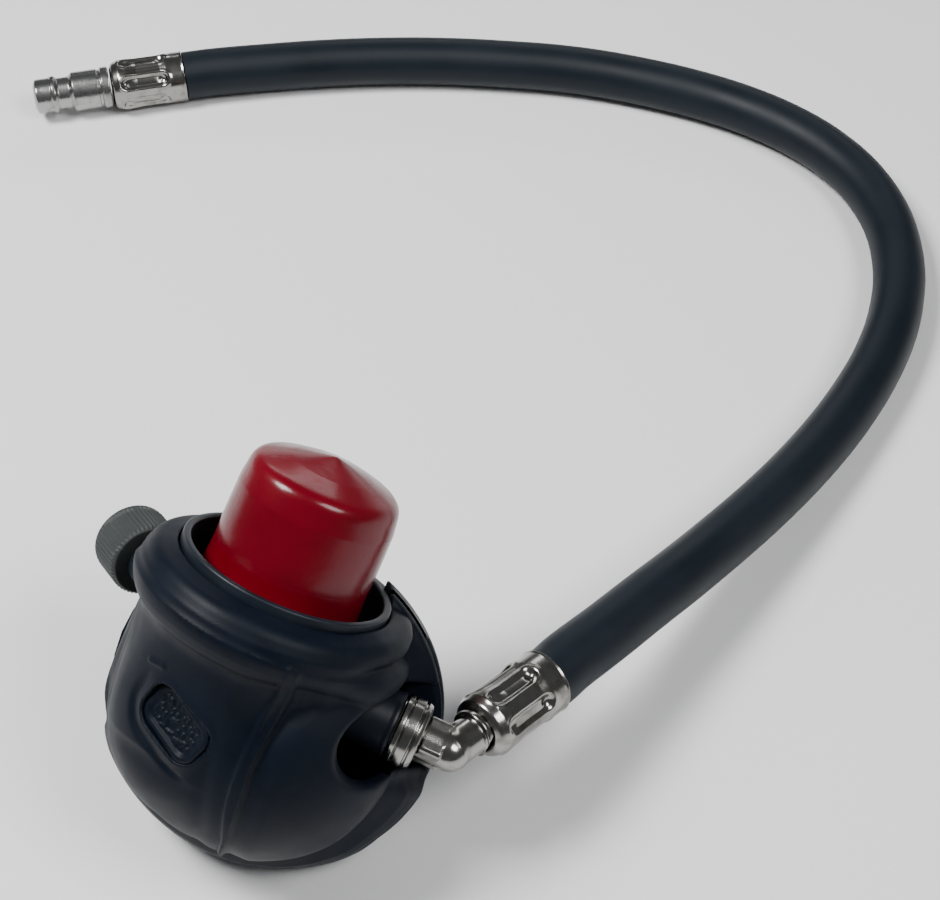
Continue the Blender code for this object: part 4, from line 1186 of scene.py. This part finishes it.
@dataclass
class RubberFront:
    """The rubber boot with the collar round the mask port, and the push pad in it."""

    finishes: Finishes
    depth: float = 25.0
    roundness: float = 2.1
    base: float = -10.1
    wall: float = 2.0
    left_side: float = -31.6
    flat_side: float = -35.4
    # a point of the side panel, across and out, and its tilt in degrees
    panel: Triple = (-14.7, 22.1, 24.0)
    # where the hose's cut-out is centred, across and along, and its radius
    notch: Triple = (26.0, 11.0, 9.0)
    bore: float = 23.6
    mesh_size: float = 0.5
    # the rim's radius at each angle, in degrees from the inlet towards the port
    lip: Table = (
        (-180.0, 37.3), (-150.0, 37.4), (-144.0, 38.2), (-138.0, 38.5), (-108.0, 38.3),
        (-92.0, 38.3), (-80.0, 38.5), (-42.0, 38.5), (-36.0, 38.4), (-28.0, 37.9),
        (-7.0, 38.0), (1.0, 37.3), (180.0, 37.3))
    # the dome's radius, at angles measured in the same way
    spread: Table = (
        (-180.0, 32.6), (-150.0, 33.2), (-132.0, 32.4), (-115.0, 30.6), (-95.0, 29.7),
        (-60.0, 29.6), (-30.0, 30.2), (60.0, 30.2), (120.0, 31.2), (180.0, 32.6))
    # the skirt's radius at each depth, and what the bumper adds to the lip there
    skirt: Table = (
        (-9.8, 37.3), (-8.2, 37.1), (-7.0, 35.6), (-3.6, 33.0), (0.4, 30.4), (3.0, 28.6))
    bumper: Table = (
        (-9.8, -0.3), (-9.0, 0), (-7.8, 0), (-7.0, -0.4), (-5.0, -1.4), (-2.6, -3.0),
        (0.4, -7.0), (3.0, -10.0))
    # lines on the dome: how far across they are at each height
    rib_left: Table = (
        (-20.0, 3.6), (-10.8, 1.7), (-4.5, 0.9), (2.9, 0.7), (10.8, 1.0), (19.3, 2.1))
    rib_right: Table = (
        (-20.0, 4.4), (-3.8, 3.4), (0.2, 2.9), (5.7, 3.3), (11.5, 4.0), (17.4, 4.6))
    shoulder: Table = (
        (-20.0, 9.0), (-2.8, 8.5), (1.1, 7.4), (6.8, 7.2), (11.4, 7.8), (16.2, 10.3))
    crease: Table = ((-20.0, -1.5), (-6.6, -4.6), (1.3, -5.9), (12.0, -6.5))
    rib_height: float = 0.75
    rib_bead: Bead = Bead(0.25, 0.35, 0.5)
    rib_edge: Bead = Bead(0.22, -0.3, 0.45)
    rib_groove: Bead = Bead(-0.2, 1.4, 0.8)
    crease_groove: Bead = Bead(-0.55, 0, 1.8)
    crease_fall: float = 0.35
    pad_bead: Bead = Bead(0.35, 0.6, 0.9)
    pad_groove: Bead = Bead(-0.55, 3.2, 1.0)
    dash_bead: Bead = Bead(0.45, 0, 0.5)
    # the raised dash beside the pad: where it starts and how it runs, in the pad's plane
    dash_from: Pair = (-10.6, 8.9)
    dash_run: Pair = (3.9, 0.95)
    collar_top: float = 31.8
    collar_foot: float = 20.9
    # the collar's radius at each height, plain and where it folds
    collar_side: Table = (
        (18.0, 27.2), (20.0, 27.7), (21.0, 28.4), (22.0, 29.1), (23.5, 29.6), (27.0, 29.8),
        (29.0, 29.0), (30.8, 27.9), (33.0, 26.7))
    collar_fold: Table = (
        (17.0, 28.8), (18.5, 30.6), (20.0, 31.6), (21.5, 32.0), (23.0, 32.0), (24.2, 31.2),
        (25.2, 29.6), (25.9, 28.5), (26.8, 29.1), (28.2, 29.8), (29.8, 29.7), (31.2, 28.8),
        (33.0, 26.9))
    pad_half: Pair = (7.8, 5.3)
    pad_corner: float = 3.6
    pad_roll: float = -20.0
    pad_face: float = -0.55
    pad_foot: float = -1.8
    pad_lip: float = 0.75
    # the plunger's radius, and the height at which its round end starts
    plunger: Pair = (3.0, -8.757)
    dot: float = 0.42
    stipple: int = 150
    seed: int = 7

    def dome(self, points: np.ndarray) -> np.ndarray:
        """Give the field of the ball-like front, wider where the spread says so.

        Args:
            points: where, in millimetres in the valve's frame.

        Returns:
            The field, negative inside.
        """
        b, e = self.depth, self.roundness
        a = along(np.degrees(np.arctan2(points[:, 2], points[:, 0])), self.spread)
        r = np.hypot(points[:, 0], points[:, 2]) / a + 1e-6
        n = np.abs(points[:, 1]) / b + 1e-6
        k = (r ** e + n ** e) ** (1 / e)
        slope = np.sqrt((r ** (e - 1) / a) ** 2 + (n ** (e - 1) / b) ** 2) * k ** (1 - e)
        return (k - 1) / slope

    def band(self, points: np.ndarray) -> np.ndarray:
        """Give the field of the skirt that runs out to the rim, with the bumper below.

        Args:
            points: where, in millimetres in the valve's frame.

        Returns:
            The field, negative inside.
        """
        x, depth, z = points[:, 0], -points[:, 1], points[:, 2]
        lip = along(np.degrees(np.arctan2(z, x)), self.lip)
        lower = ramp(lip, 37.35, 37.9)
        plain = along(depth, self.skirt)
        drop = along(depth, self.bumper)
        side = (np.hypot(x, z) - plain - (lip + drop - plain) * lower) * 0.78
        side = both(side, self.flat_side - x, 1.2)
        return both(side, np.abs(depth + 4.0) - 6.1, 0.5)

    def collar(self, points: np.ndarray) -> np.ndarray:
        """Give the field of the collar's outside, with the fold on its inlet side.

        Args:
            points: where, in millimetres in the valve's frame.

        Returns:
            The field, negative inside.
        """
        x, y, z = points[:, 0] - PORT_SIDE, points[:, 1], points[:, 2]
        radius = np.hypot(x, y)
        angle = np.degrees(np.arctan2(-y, x))
        right = 1 - ramp(np.abs(angle + 22.0), 46.0, 72.0)
        plain = along(z, self.collar_side)
        folded = along(z, self.collar_fold)
        side = (radius - plain - (folded - plain) * right) * 0.85
        slope = (radius - self.bore) * (0.3 - 0.1 * right)
        top = (z - self.collar_top - 0.7 * right + slope) * 0.957
        shell = both(side, top, 0.9)
        return both(shell, self.collar_foot - 3.0 * right - z, 0.6 + 1.2 * right)

    def marks(self, points: np.ndarray) -> np.ndarray:
        """Raise the ribs, the panel's edge and the pad's lip out of the dome.

        Args:
            points: where, in millimetres in the valve's frame.

        Returns:
            How far the surface stands out, in millimetres.
        """
        x, z = points[:, 0], points[:, 2]
        left, right = x - along(z, self.rib_left), x - along(z, self.rib_right)
        shoulder, crease = x - along(z, self.shoulder), x - along(z, self.crease)
        rib = ramp(left, -0.7, 0.3) * (1 - ramp(right, -0.3, 0.8))
        out = self.rib_height * rib + self.rib_bead.by(left) + self.rib_edge.by(right)
        out += self.rib_height * ramp(shoulder, -2.6, 1.4) + self.rib_groove.by(right)
        out += self.crease_groove.by(crease) * ramp(-z, -12.0, 2.0)
        out -= self.crease_fall * ramp(-crease, -1.0, 3.0)
        pad = local(points, VALVE, PAD)
        u, v, height = pad.T
        away = self.pad_outline(pad[:, :2])
        groove = self.pad_groove.by(away) * ramp(-u - v, 0, 9)
        (u0, v0), (du, dv) = self.dash_from, self.dash_run
        t = np.clip(((u - u0) * du + (v - v0) * dv) / (du ** 2 + dv ** 2), 0, 1)
        dash = self.dash_bead.by(np.hypot(u - u0 - du * t, v - v0 - dv * t))
        out += (np.abs(height) < 9) * (self.pad_bead.by(away) + groove + dash)
        return out * ramp(-points[:, 1], 4.0, 12.0)

    def pad_outline(self, flat: np.ndarray) -> np.ndarray:
        """Measure from the push pad's outline, in the pad's own plane.

        Args:
            flat: N x 2 points of the plane, in millimetres.

        Returns:
            The distance, negative inside.
        """
        turn = math.radians(self.pad_roll)
        u = flat[:, 0] * math.cos(turn) + flat[:, 1] * math.sin(turn)
        v = flat[:, 1] * math.cos(turn) - flat[:, 0] * math.sin(turn)
        du = np.abs(u) - (self.pad_half[0] - self.pad_corner)
        dv = np.abs(v) - (self.pad_half[1] - self.pad_corner)
        outside = np.hypot(np.maximum(du, 0), np.maximum(dv, 0))
        return outside + np.minimum(np.maximum(du, dv), 0) - self.pad_corner

    def outside(self, points: np.ndarray) -> np.ndarray:
        """Give the field of the boot and collar as one, without their openings.

        Args:
            points: where, in millimetres in the valve's frame.

        Returns:
            The field, negative inside.
        """
        x, y, z = points.T
        depth = -y
        at_x, at_depth, tilt = self.panel
        tilt = math.radians(tilt)
        dome = both(self.dome(points), self.left_side - x, 3.0)
        panel = (depth - at_depth) * math.cos(tilt) - (x - at_x) * math.sin(tilt)
        dome = both(dome, panel, 4.0)
        leftish = ramp(np.degrees(np.arctan2(depth, x - PORT_SIDE)), 55.0, 95.0)
        body = joined(dome, NECK.field(points), 1.5 + 5.0 * leftish)
        seam = self.band(points)
        crease = 0.35 * bump(np.abs(dome) + np.abs(seam), 0.5)
        soft = ramp(np.abs(np.degrees(np.arctan2(z, x))), 95.0, 130.0)
        body = joined(body, seam, 0.8 + 5.0 * soft) - self.marks(points) + crease * (1 - soft)
        body = both(body, self.base - depth, 0.4)
        fillet = 0.5 + (1.0 + 4.0 * leftish) * ramp(depth, -2.0, 6.0)
        return joined(body, self.collar(points), fillet)

    def boot_field(self, points: np.ndarray) -> np.ndarray:
        """Give the field of the boot and collar, hollow and with their openings.

        Args:
            points: where, in millimetres in the valve's frame.

        Returns:
            The field, negative inside.
        """
        x, y, z = points.T
        depth = -y
        port = np.hypot(x - PORT_SIDE, y)
        shell = without(self.outside(points), np.maximum(port - self.bore, 20.0 - z), 0.5)
        drum = np.maximum(np.hypot(x, z) - 29.0, depth - 3.0)
        room = np.minimum(self.dome(points) + self.wall + 0.9, drum)
        neck = np.maximum(NECK.field(points) + self.wall, z - 21.0)
        shell = without(shell, np.minimum(room, neck), 0.4)
        notch_x, notch_z, notch_radius = self.notch
        notch = np.hypot(np.minimum(x - notch_x, 0), z - notch_z) - notch_radius
        notch = np.maximum(np.maximum(notch, -8.5 - depth), z - self.collar_foot)
        shell = without(shell, notch, 1.3)
        pad = local(points, VALVE, PAD)
        hole = np.maximum(self.pad_outline(pad[:, :2]) - 0.42, np.abs(pad[:, 2] + 2.0) - 7.0)
        shell = without(shell, hole, 0.25)
        return without(shell, KNOB_ROOM.field(points), 0.6)

    def boot(self) -> None:
        """Make the boot and collar as one moulding."""
        low, high = (-39.5, -32, -39.5), (39.5, 31, 37.5)
        boot = field_piece(
            "rubber_boot_moulded", self.boot_field, low, high, self.mesh_size, VALVE)
        self.finishes.dress(boot, Slot.BOOT, Body.VALVE, "rubber_boot", "collar_ring")

    def pad_field(self, points: np.ndarray) -> np.ndarray:
        """Give the field of the push pad with its lip, its stipple and its plunger.

        Args:
            points: where, in millimetres in the pad's frame.

        Returns:
            The field, negative inside.
        """
        x, y, z = points.T
        away = self.pad_outline(points[:, :2]) - 0.3
        face = self.pad_face + self.pad_lip * bump(np.minimum(away + 1.1, 0), self.pad_lip)
        dots = np.zeros(len(points))
        rng = np.random.default_rng(self.seed)
        for at_x, at_y in rng.uniform((-7, -5), (7, 5), (self.stipple, 2)):
            dots = np.maximum(dots, bump(np.hypot(x - at_x, y - at_y), self.dot))
        face = face + self.dot * dots * ramp(-away, 1.9, 2.5)
        slab = both(away, z - face, 0.7)
        slab = both(slab, self.pad_foot - z, 0.3)
        radius, tip = self.plunger
        shank = np.sqrt(x ** 2 + y ** 2 + np.minimum(z - tip, 0) ** 2) - radius
        return joined(slab, np.maximum(shank, z + 1.0), 0.4)

    def pad(self) -> None:
        """Make the push pad."""
        low, high = (-9, -9, -12.4), (9, 9, 1.2)
        pad = field_piece("purge_pad_stippled", self.pad_field, low, high, 0.25, PAD)
        self.finishes.dress(pad, Slot.BOOT, Body.PAD, "purge_pad")

    def build(self) -> None:
        """Make both pieces."""
        self.boot()
        self.pad()


@dataclass
class RearShell:
    """The hard rear cover with its thin rim."""

    finishes: Finishes
    rim: float = 37.3
    rim_back: float = -14.1
    rim_front: float = -12.1
    cone: tuple[Pair, Pair] = ((-29.5, 26.0), (-14.1, 30.5))
    wall: float = 2.0
    flat_side: float = -35.7
    # radius, foot and top of each step of the port's bore
    port_steps: tuple[Triple, ...] = (
        (23.0, 17.0, math.inf), (28.4, 20.7, 30.0), (24.0, 20.7, math.inf))
    screw_radius: float = 1.5
    screw_circle: float = 33.9
    screw_angles: tuple[float, ...] = (-170.0, -116.0, -26.0, 28.0)

    def shell_field(self, points: np.ndarray) -> np.ndarray:
        """Give the field of the cover, hollow and with its openings.

        Args:
            points: where, in millimetres in the valve's frame.

        Returns:
            The field, negative inside.
        """
        x, y, z = points.T
        depth = -y
        radius = np.hypot(x, z)
        (back, small), (front, large) = self.cone
        side = (radius - small - (depth - back) * (large - small) / (front - back)) * 0.96
        cone = both(both(side, back - depth, 2.5), depth - self.rim_front, 0.3)
        seam = Bead(0.3, -18.0, 0.5).by(depth)
        neck = both(NECK.field(points), depth - self.rim_front, 0.3)
        body = joined(cone + seam, neck, 1.5)
        middle = (self.rim_front + self.rim_back) / 2
        half = (self.rim_front - self.rim_back) / 2
        turn = np.degrees(np.arctan2(z, x))
        fill = 1.05 * ramp(turn, 46.0, 52.0) * (1 - ramp(turn, 84.0, 92.0))
        rim = both(radius - self.rim, np.abs(depth - middle - fill) - half - fill, 0.7)
        body = joined(body, both(rim, self.flat_side - x, 0.8), 0.8)
        room = np.maximum(side + self.wall, back + self.wall - depth)
        body = without(body, np.minimum(room, NECK.field(points) + self.wall), 0.3)
        port = np.hypot(x - PORT_SIDE, y)
        for wide, low, high in self.port_steps:
            cut = np.maximum(np.maximum(port - wide, low - z), z - high)
            body = without(body, cut, 0.3)
        for angle in self.screw_angles:
            at_x = self.screw_circle * math.cos(math.radians(angle))
            at_z = self.screw_circle * math.sin(math.radians(angle))
            hole = np.hypot(x - at_x, z - at_z) - self.screw_radius
            body = without(body, hole, 0.3)
        return without(body, KNOB_ROOM.field(points), 0.5)

    def build(self) -> None:
        """Make the cover."""
        low, high = (-39, 11, -39), (39, 31, 37.5)
        cover = field_piece("rear_cover_moulded", self.shell_field, low, high, 0.5, VALVE)
        self.finishes.dress(cover, Slot.PLASTIC, Body.VALVE, "rear_cover")


# ---------------------------------------------------------------- mask port


@dataclass
class MaskPort:
    """Sleeve, mask connector, its O-ring and the dust cap."""

    finishes: Finishes
    foot: float = 19.8
    sleeve_top: float = 33.7
    connector_top: float = 52.5
    connector_radius: float = 15.2
    # the O-ring's radius and height, and half its thickness
    ring: Triple = (14.8, 46.0, 0.75)

    def sleeve(self) -> None:
        """Make the thin sleeve inside the collar."""
        top = self.sleeve_top
        outline = [
            (23.2, self.foot), (23.2, 30.0), (23.35, 32.2, 0.5), (23.3, top, 0.6),
            (21.7, top, 0.6), (21.6, 32.0, 0.5), (21.7, 21.2, 0.8), (19.0, 21.2, 0.2),
            (19.0, self.foot)]
        piece = lathe("port_sleeve_turned", rounded(outline)[::-1], PORT, 160)
        self.finishes.dress(piece, Slot.PLASTIC, Body.VALVE, "port_sleeve")

    def connector(self) -> None:
        """Make the mask connector and the ring in its groove."""
        top, r = self.connector_top, self.connector_radius
        outline = [
            (12.2, top), (14.6, top, 0.3), (r, top - 0.7, 0.3), (r, 46.9, 0.15), (14.0, 46.9),
            (14.0, 45.1), (r, 45.1, 0.15), (r, 38.0, 0.2), (14.9, 37.6, 0.2), (14.9, 36.6, 0.2),
            (r, 36.2, 0.2), (r, 21.2, 0.8), (18.6, 21.2, 0.2), (18.6, self.foot),
            (12.2, self.foot)]
        piece = lathe("port_plug_turned", rounded(outline), PORT, 128)
        self.finishes.dress(piece, Slot.CONNECTOR, Body.VALVE, "port_plug")
        radius, height, thick = self.ring
        ring = [(radius + thick * math.cos(turn), height + thick * math.sin(turn))
                for turn in np.linspace(2 * math.pi, 0, 16, endpoint=False)]
        seal = lathe("port_o_ring_round", ring, PORT, 128)
        self.finishes.dress(seal, Slot.SEAL, Body.VALVE, "port_o_ring")

    def cap(self) -> None:
        """Make the dip-moulded cap with its soft shoulder and low cone."""
        outer = [
            (0, 59.8), (1.2, 59.5, 0.6), (9.0, 57.4, 4), (16.2, 54.9, 3.4), (17.0, 49.0, 4),
            (17.3, 36.0, 6), (17.9, 25.0, 0.5), (17.6, 24.5, 0.2), (16.9, 24.5, 0.2)]
        inner = [(16.7, 25.2, 0.3), (16.1, 49.0, 2), (15.6, 53.2, 2), (0, 58.2)]
        profile = rounded(outer + inner, 1.2)

        def sag(angle: np.ndarray, height: np.ndarray, radius: np.ndarray) -> np.ndarray:
            """Let the soft wall bulge and draw in.

            Args:
                angle: angles round the axis.
                height: heights.
                radius: plain radii.

            Returns:
                What is added to the radius.
            """
            side = ramp(height, 26.0, 34.0) * (1 - ramp(height, 50.0, 58.0))
            waist = Bead(-0.35, 33.0, 5.0).by(height)
            lobes = 0.18 * np.cos(3 * angle + 0.6) + 0.12 * np.cos(2 * angle - 1.0)
            return np.where(radius > 3, side * lobes + waist, 0)

        piece = lathe("dust_cap_dipped", profile, PORT, 144, sag, loop=False)
        self.finishes.dress(piece, Slot.VINYL, Body.CAP, "dust_cap")

    def build(self) -> None:
        """Make the pieces of the port."""
        self.sleeve()
        self.connector()
        self.cap()


# ---------------------------------------------------------------- knob


@dataclass
class BypassControl:
    """The knurled knob and the neck that it turns in."""

    finishes: Finishes
    radius: float = 8.7
    half: float = 5.25
    ridges: int = 54
    ridge_depth: float = 0.3
    # radius and length of the neck
    neck: Pair = (5.2, 10.2)
    stem: float = 1.65

    def knob(self) -> None:
        """Make the knob, its grip pressed with fine straight ridges."""
        r, h = self.radius, self.half
        outline = [
            (0, h - 0.5), (5.6, h - 0.5, 0.8), (6.2, h, 0.5), (r - 0.2, h, 0.9),
            (r, h - 1.2, 0.5), (r, 0.8 - h, 0.5), (r - 0.8, -h, 0.5), (self.stem, -h),
            (self.stem, -1.25), (0, -1.25)]
        profile = rounded(outline, 0.8)

        def knurl(angle: np.ndarray, height: np.ndarray, radius: np.ndarray) -> np.ndarray:
            """Press the valleys between the ridges, on the grip alone.

            Args:
                angle: angles round the axis.
                height: heights.
                radius: plain radii.

            Returns:
                What is added to the radius.
            """
            grip = ramp(radius, r - 0.9, r - 0.3) * (1 - ramp(np.abs(height), h - 0.9, h - 0.2))
            valley = (0.5 - 0.5 * np.cos(angle * self.ridges)) ** 0.7
            return -self.ridge_depth * grip * valley

        piece = lathe("bypass_knob_knurled", profile, KNOB, self.ridges * 8, knurl, loop=False)
        self.finishes.dress(piece, Slot.KNOB, Body.KNOB, "bypass_knob")

    def bush(self) -> None:
        """Make the smooth neck under the knob."""
        top = -self.half - 0.3
        r, length = self.neck
        outline = [
            (1.8, top), (4.7, top, 0.3), (r, top - 0.5, 0.4), (r, top - 4.4, 0.5),
            (4.6, top - 5.2, 0.5), (r, top - 6.0, 0.5), (r, top - length, 0.2),
            (1.8, top - length)]
        piece = lathe("knob_bush_turned", rounded(outline), KNOB)
        self.finishes.dress(piece, Slot.PLASTIC, Body.VALVE, "knob_bush")

    def build(self) -> None:
        """Make both pieces."""
        self.knob()
        self.bush()


# ---------------------------------------------------------------- inlet fitting


@dataclass
class InletFitting:
    """The swivel nut and the forged elbow that carries the hose."""

    finishes: Finishes
    nut_from: float = 26.4
    nut_to: float = 32.3
    nut_radius: float = 7.6
    nut_step: float = 29.65
    # bore and foot of the liner
    liner: Pair = (7.02, 15.0)
    corner: float = 38.9

    def nut(self) -> None:
        """Make the nut with its fine grooves and round lips."""
        low, high, r, step = self.nut_from, self.nut_to, self.nut_radius, self.nut_step
        outline = [
            (4.7, high), (6.3, high, 0.3), (7.1, high - 0.25, 0.5), (7.5, high - 1.2, 0.25),
            (7.1, high - 1.5, 0.12), (7.1, high - 1.75, 0.12), (r, high - 2.0, 0.2),
            (r, low + 1.9, 0.15), (7.2, low + 1.6, 0.1), (r, low + 1.3, 0.15),
            (r, low + 0.35, 0.3), (7.3, low, 0.2), (6.9, low, 0.05), (6.9, low - 0.35),
            (5.3, low - 0.35), (5.3, step), (6.3, step), (6.3, high - 0.9), (4.7, high - 0.9)]
        piece = lathe("swivel_nut_turned", rounded(outline), INLET, 128)
        self.finishes.dress(piece, Slot.PLATED, Body.VALVE, "swivel_nut")

    def boss(self) -> None:
        """Make the smooth liner that hides the moulded boss behind the nut."""
        bore, low = self.liner
        outline = [
            (bore, 26.0), (7.3, 26.0, 0.12), (7.35, 25.4, 0.2), (7.2, 24.6, 0.3), (7.2, low),
            (bore, low)]
        piece = lathe("inlet_boss_liner", rounded(outline), INLET)
        self.finishes.dress(piece, Slot.PLASTIC, Body.VALVE)

    def elbow_field(self, points: np.ndarray) -> np.ndarray:
        """Give the field of the elbow: nipple, flange, block with flats, bend and arm.

        Args:
            points: where, in millimetres in the inlet's frame.

        Returns:
            The field, negative inside.
        """
        nipple, flange = column(points, 3.6, 20.9, 30.0), column(points, 6.0, 29.8, 30.9)
        body = joined(column(points, 4.3, 29.9, self.corner), flange, 0.2)
        body = joined(body, nipple, 0.2)
        diagonal, flat, round_off, middle, half = 0.7071, 4.2, 5.5, 35.0, 2.4
        across = (points[:, 0] + points[:, 1]) * diagonal
        beside = (points[:, 1] - points[:, 0]) * diagonal
        block = both(np.abs(across) - flat, np.abs(beside) - flat, 0.3)
        block = both(block, np.hypot(across, beside) - round_off, 0.2)
        block = both(block, np.abs(points[:, 2] - middle) - half, 0.3)
        body = joined(body, block, 0.25)
        arm = local(points, INLET, ARM)
        body = joined(body, np.sqrt((arm ** 2).sum(1)) - 4.5, 0.5)
        body = joined(body, column(arm, 4.35, 0.0, 8.4, 0.3), 0.5)
        body = joined(body, column(arm, 5.4, 6.9, 8.4, 0.4), 0.35)
        return joined(body, column(arm, 2.6, 8.0, 12.0, 0.3), 0.3)

    def elbow(self) -> None:
        """Make the elbow."""
        low, high = (-14, -7, 20), (7, 18, 46)
        piece = field_piece("swivel_elbow_forged", self.elbow_field, low, high, 0.22, INLET)
        self.finishes.dress(piece, Slot.PLATED, Body.HOSE, "swivel_elbow")

    def build(self) -> None:
        """Make the pieces."""
        self.boss()
        self.nut()
        self.elbow()


# ---------------------------------------------------------------- pieces kept from the CAD


@dataclass
class Insides:
    """The CAD nodes that keep their own shape, each with its finish, and the three springs."""

    finishes: Finishes
    nodes: dict[str, Object]
    slots: dict[str, Slot] = field(default_factory=lambda: {
        "valve_housing": Slot.PLASTIC, "front_cover": Slot.PLASTIC,
        "housing_screw_1": Slot.STEEL, "housing_screw_2": Slot.STEEL,
        "housing_screw_3": Slot.STEEL, "housing_screw_4": Slot.STEEL,
        "diaphragm": Slot.SILICONE, "diaphragm_plate": Slot.CONNECTOR,
        "inlet_barrel": Slot.BRASS, "valve_seat": Slot.CONNECTOR, "inlet_filter": Slot.BRASS,
        "valve_piston": Slot.BRASS, "demand_lever": Slot.STEEL, "lever_pin": Slot.STEEL,
        "bypass_stem": Slot.BRASS, "bypass_o_ring": Slot.SEAL, "elbow_o_ring": Slot.SEAL,
    })

    def spring(self, name: str) -> None:
        """Stand a copy in for a spring.

        Args:
            name: the spring's node.
        """
        mesh = self.nodes[name].data.copy()
        coil = linked(f"{name}_coil", mesh)
        self.finishes.dress(coil, Slot.STEEL, Body.VALVE, name)
        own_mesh(coil)

    def build(self) -> None:
        """Give every kept node its finish, and stand copies in for the springs."""
        self.spring("purge_spring")
        self.spring("bias_spring")
        self.spring("piston_spring")
        for name, slot in self.slots.items():
            self.finishes.coat(self.nodes[name], slot)
            LOG.info("%s keeps its shape", name)


def main() -> list[list[float]]:
    """Build the studio and every sub-assembly.

    Returns:
        The lowest and highest corners of the CAD model's box.
    """
    logging.basicConfig(level=logging.INFO)
    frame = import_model()
    cad_box = [list(corner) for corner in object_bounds()]
    Studio().build()
    finishes = Finishes()
    SupplyHose(finishes).build()
    RubberFront(finishes).build()
    RearShell(finishes).build()
    MaskPort(finishes).build()
    BypassControl(finishes).build()
    InletFitting(finishes).build()
    Insides(finishes, frame["nodes"]).build()
    return cad_box


if __name__ == "__main__":
    box_before = main()
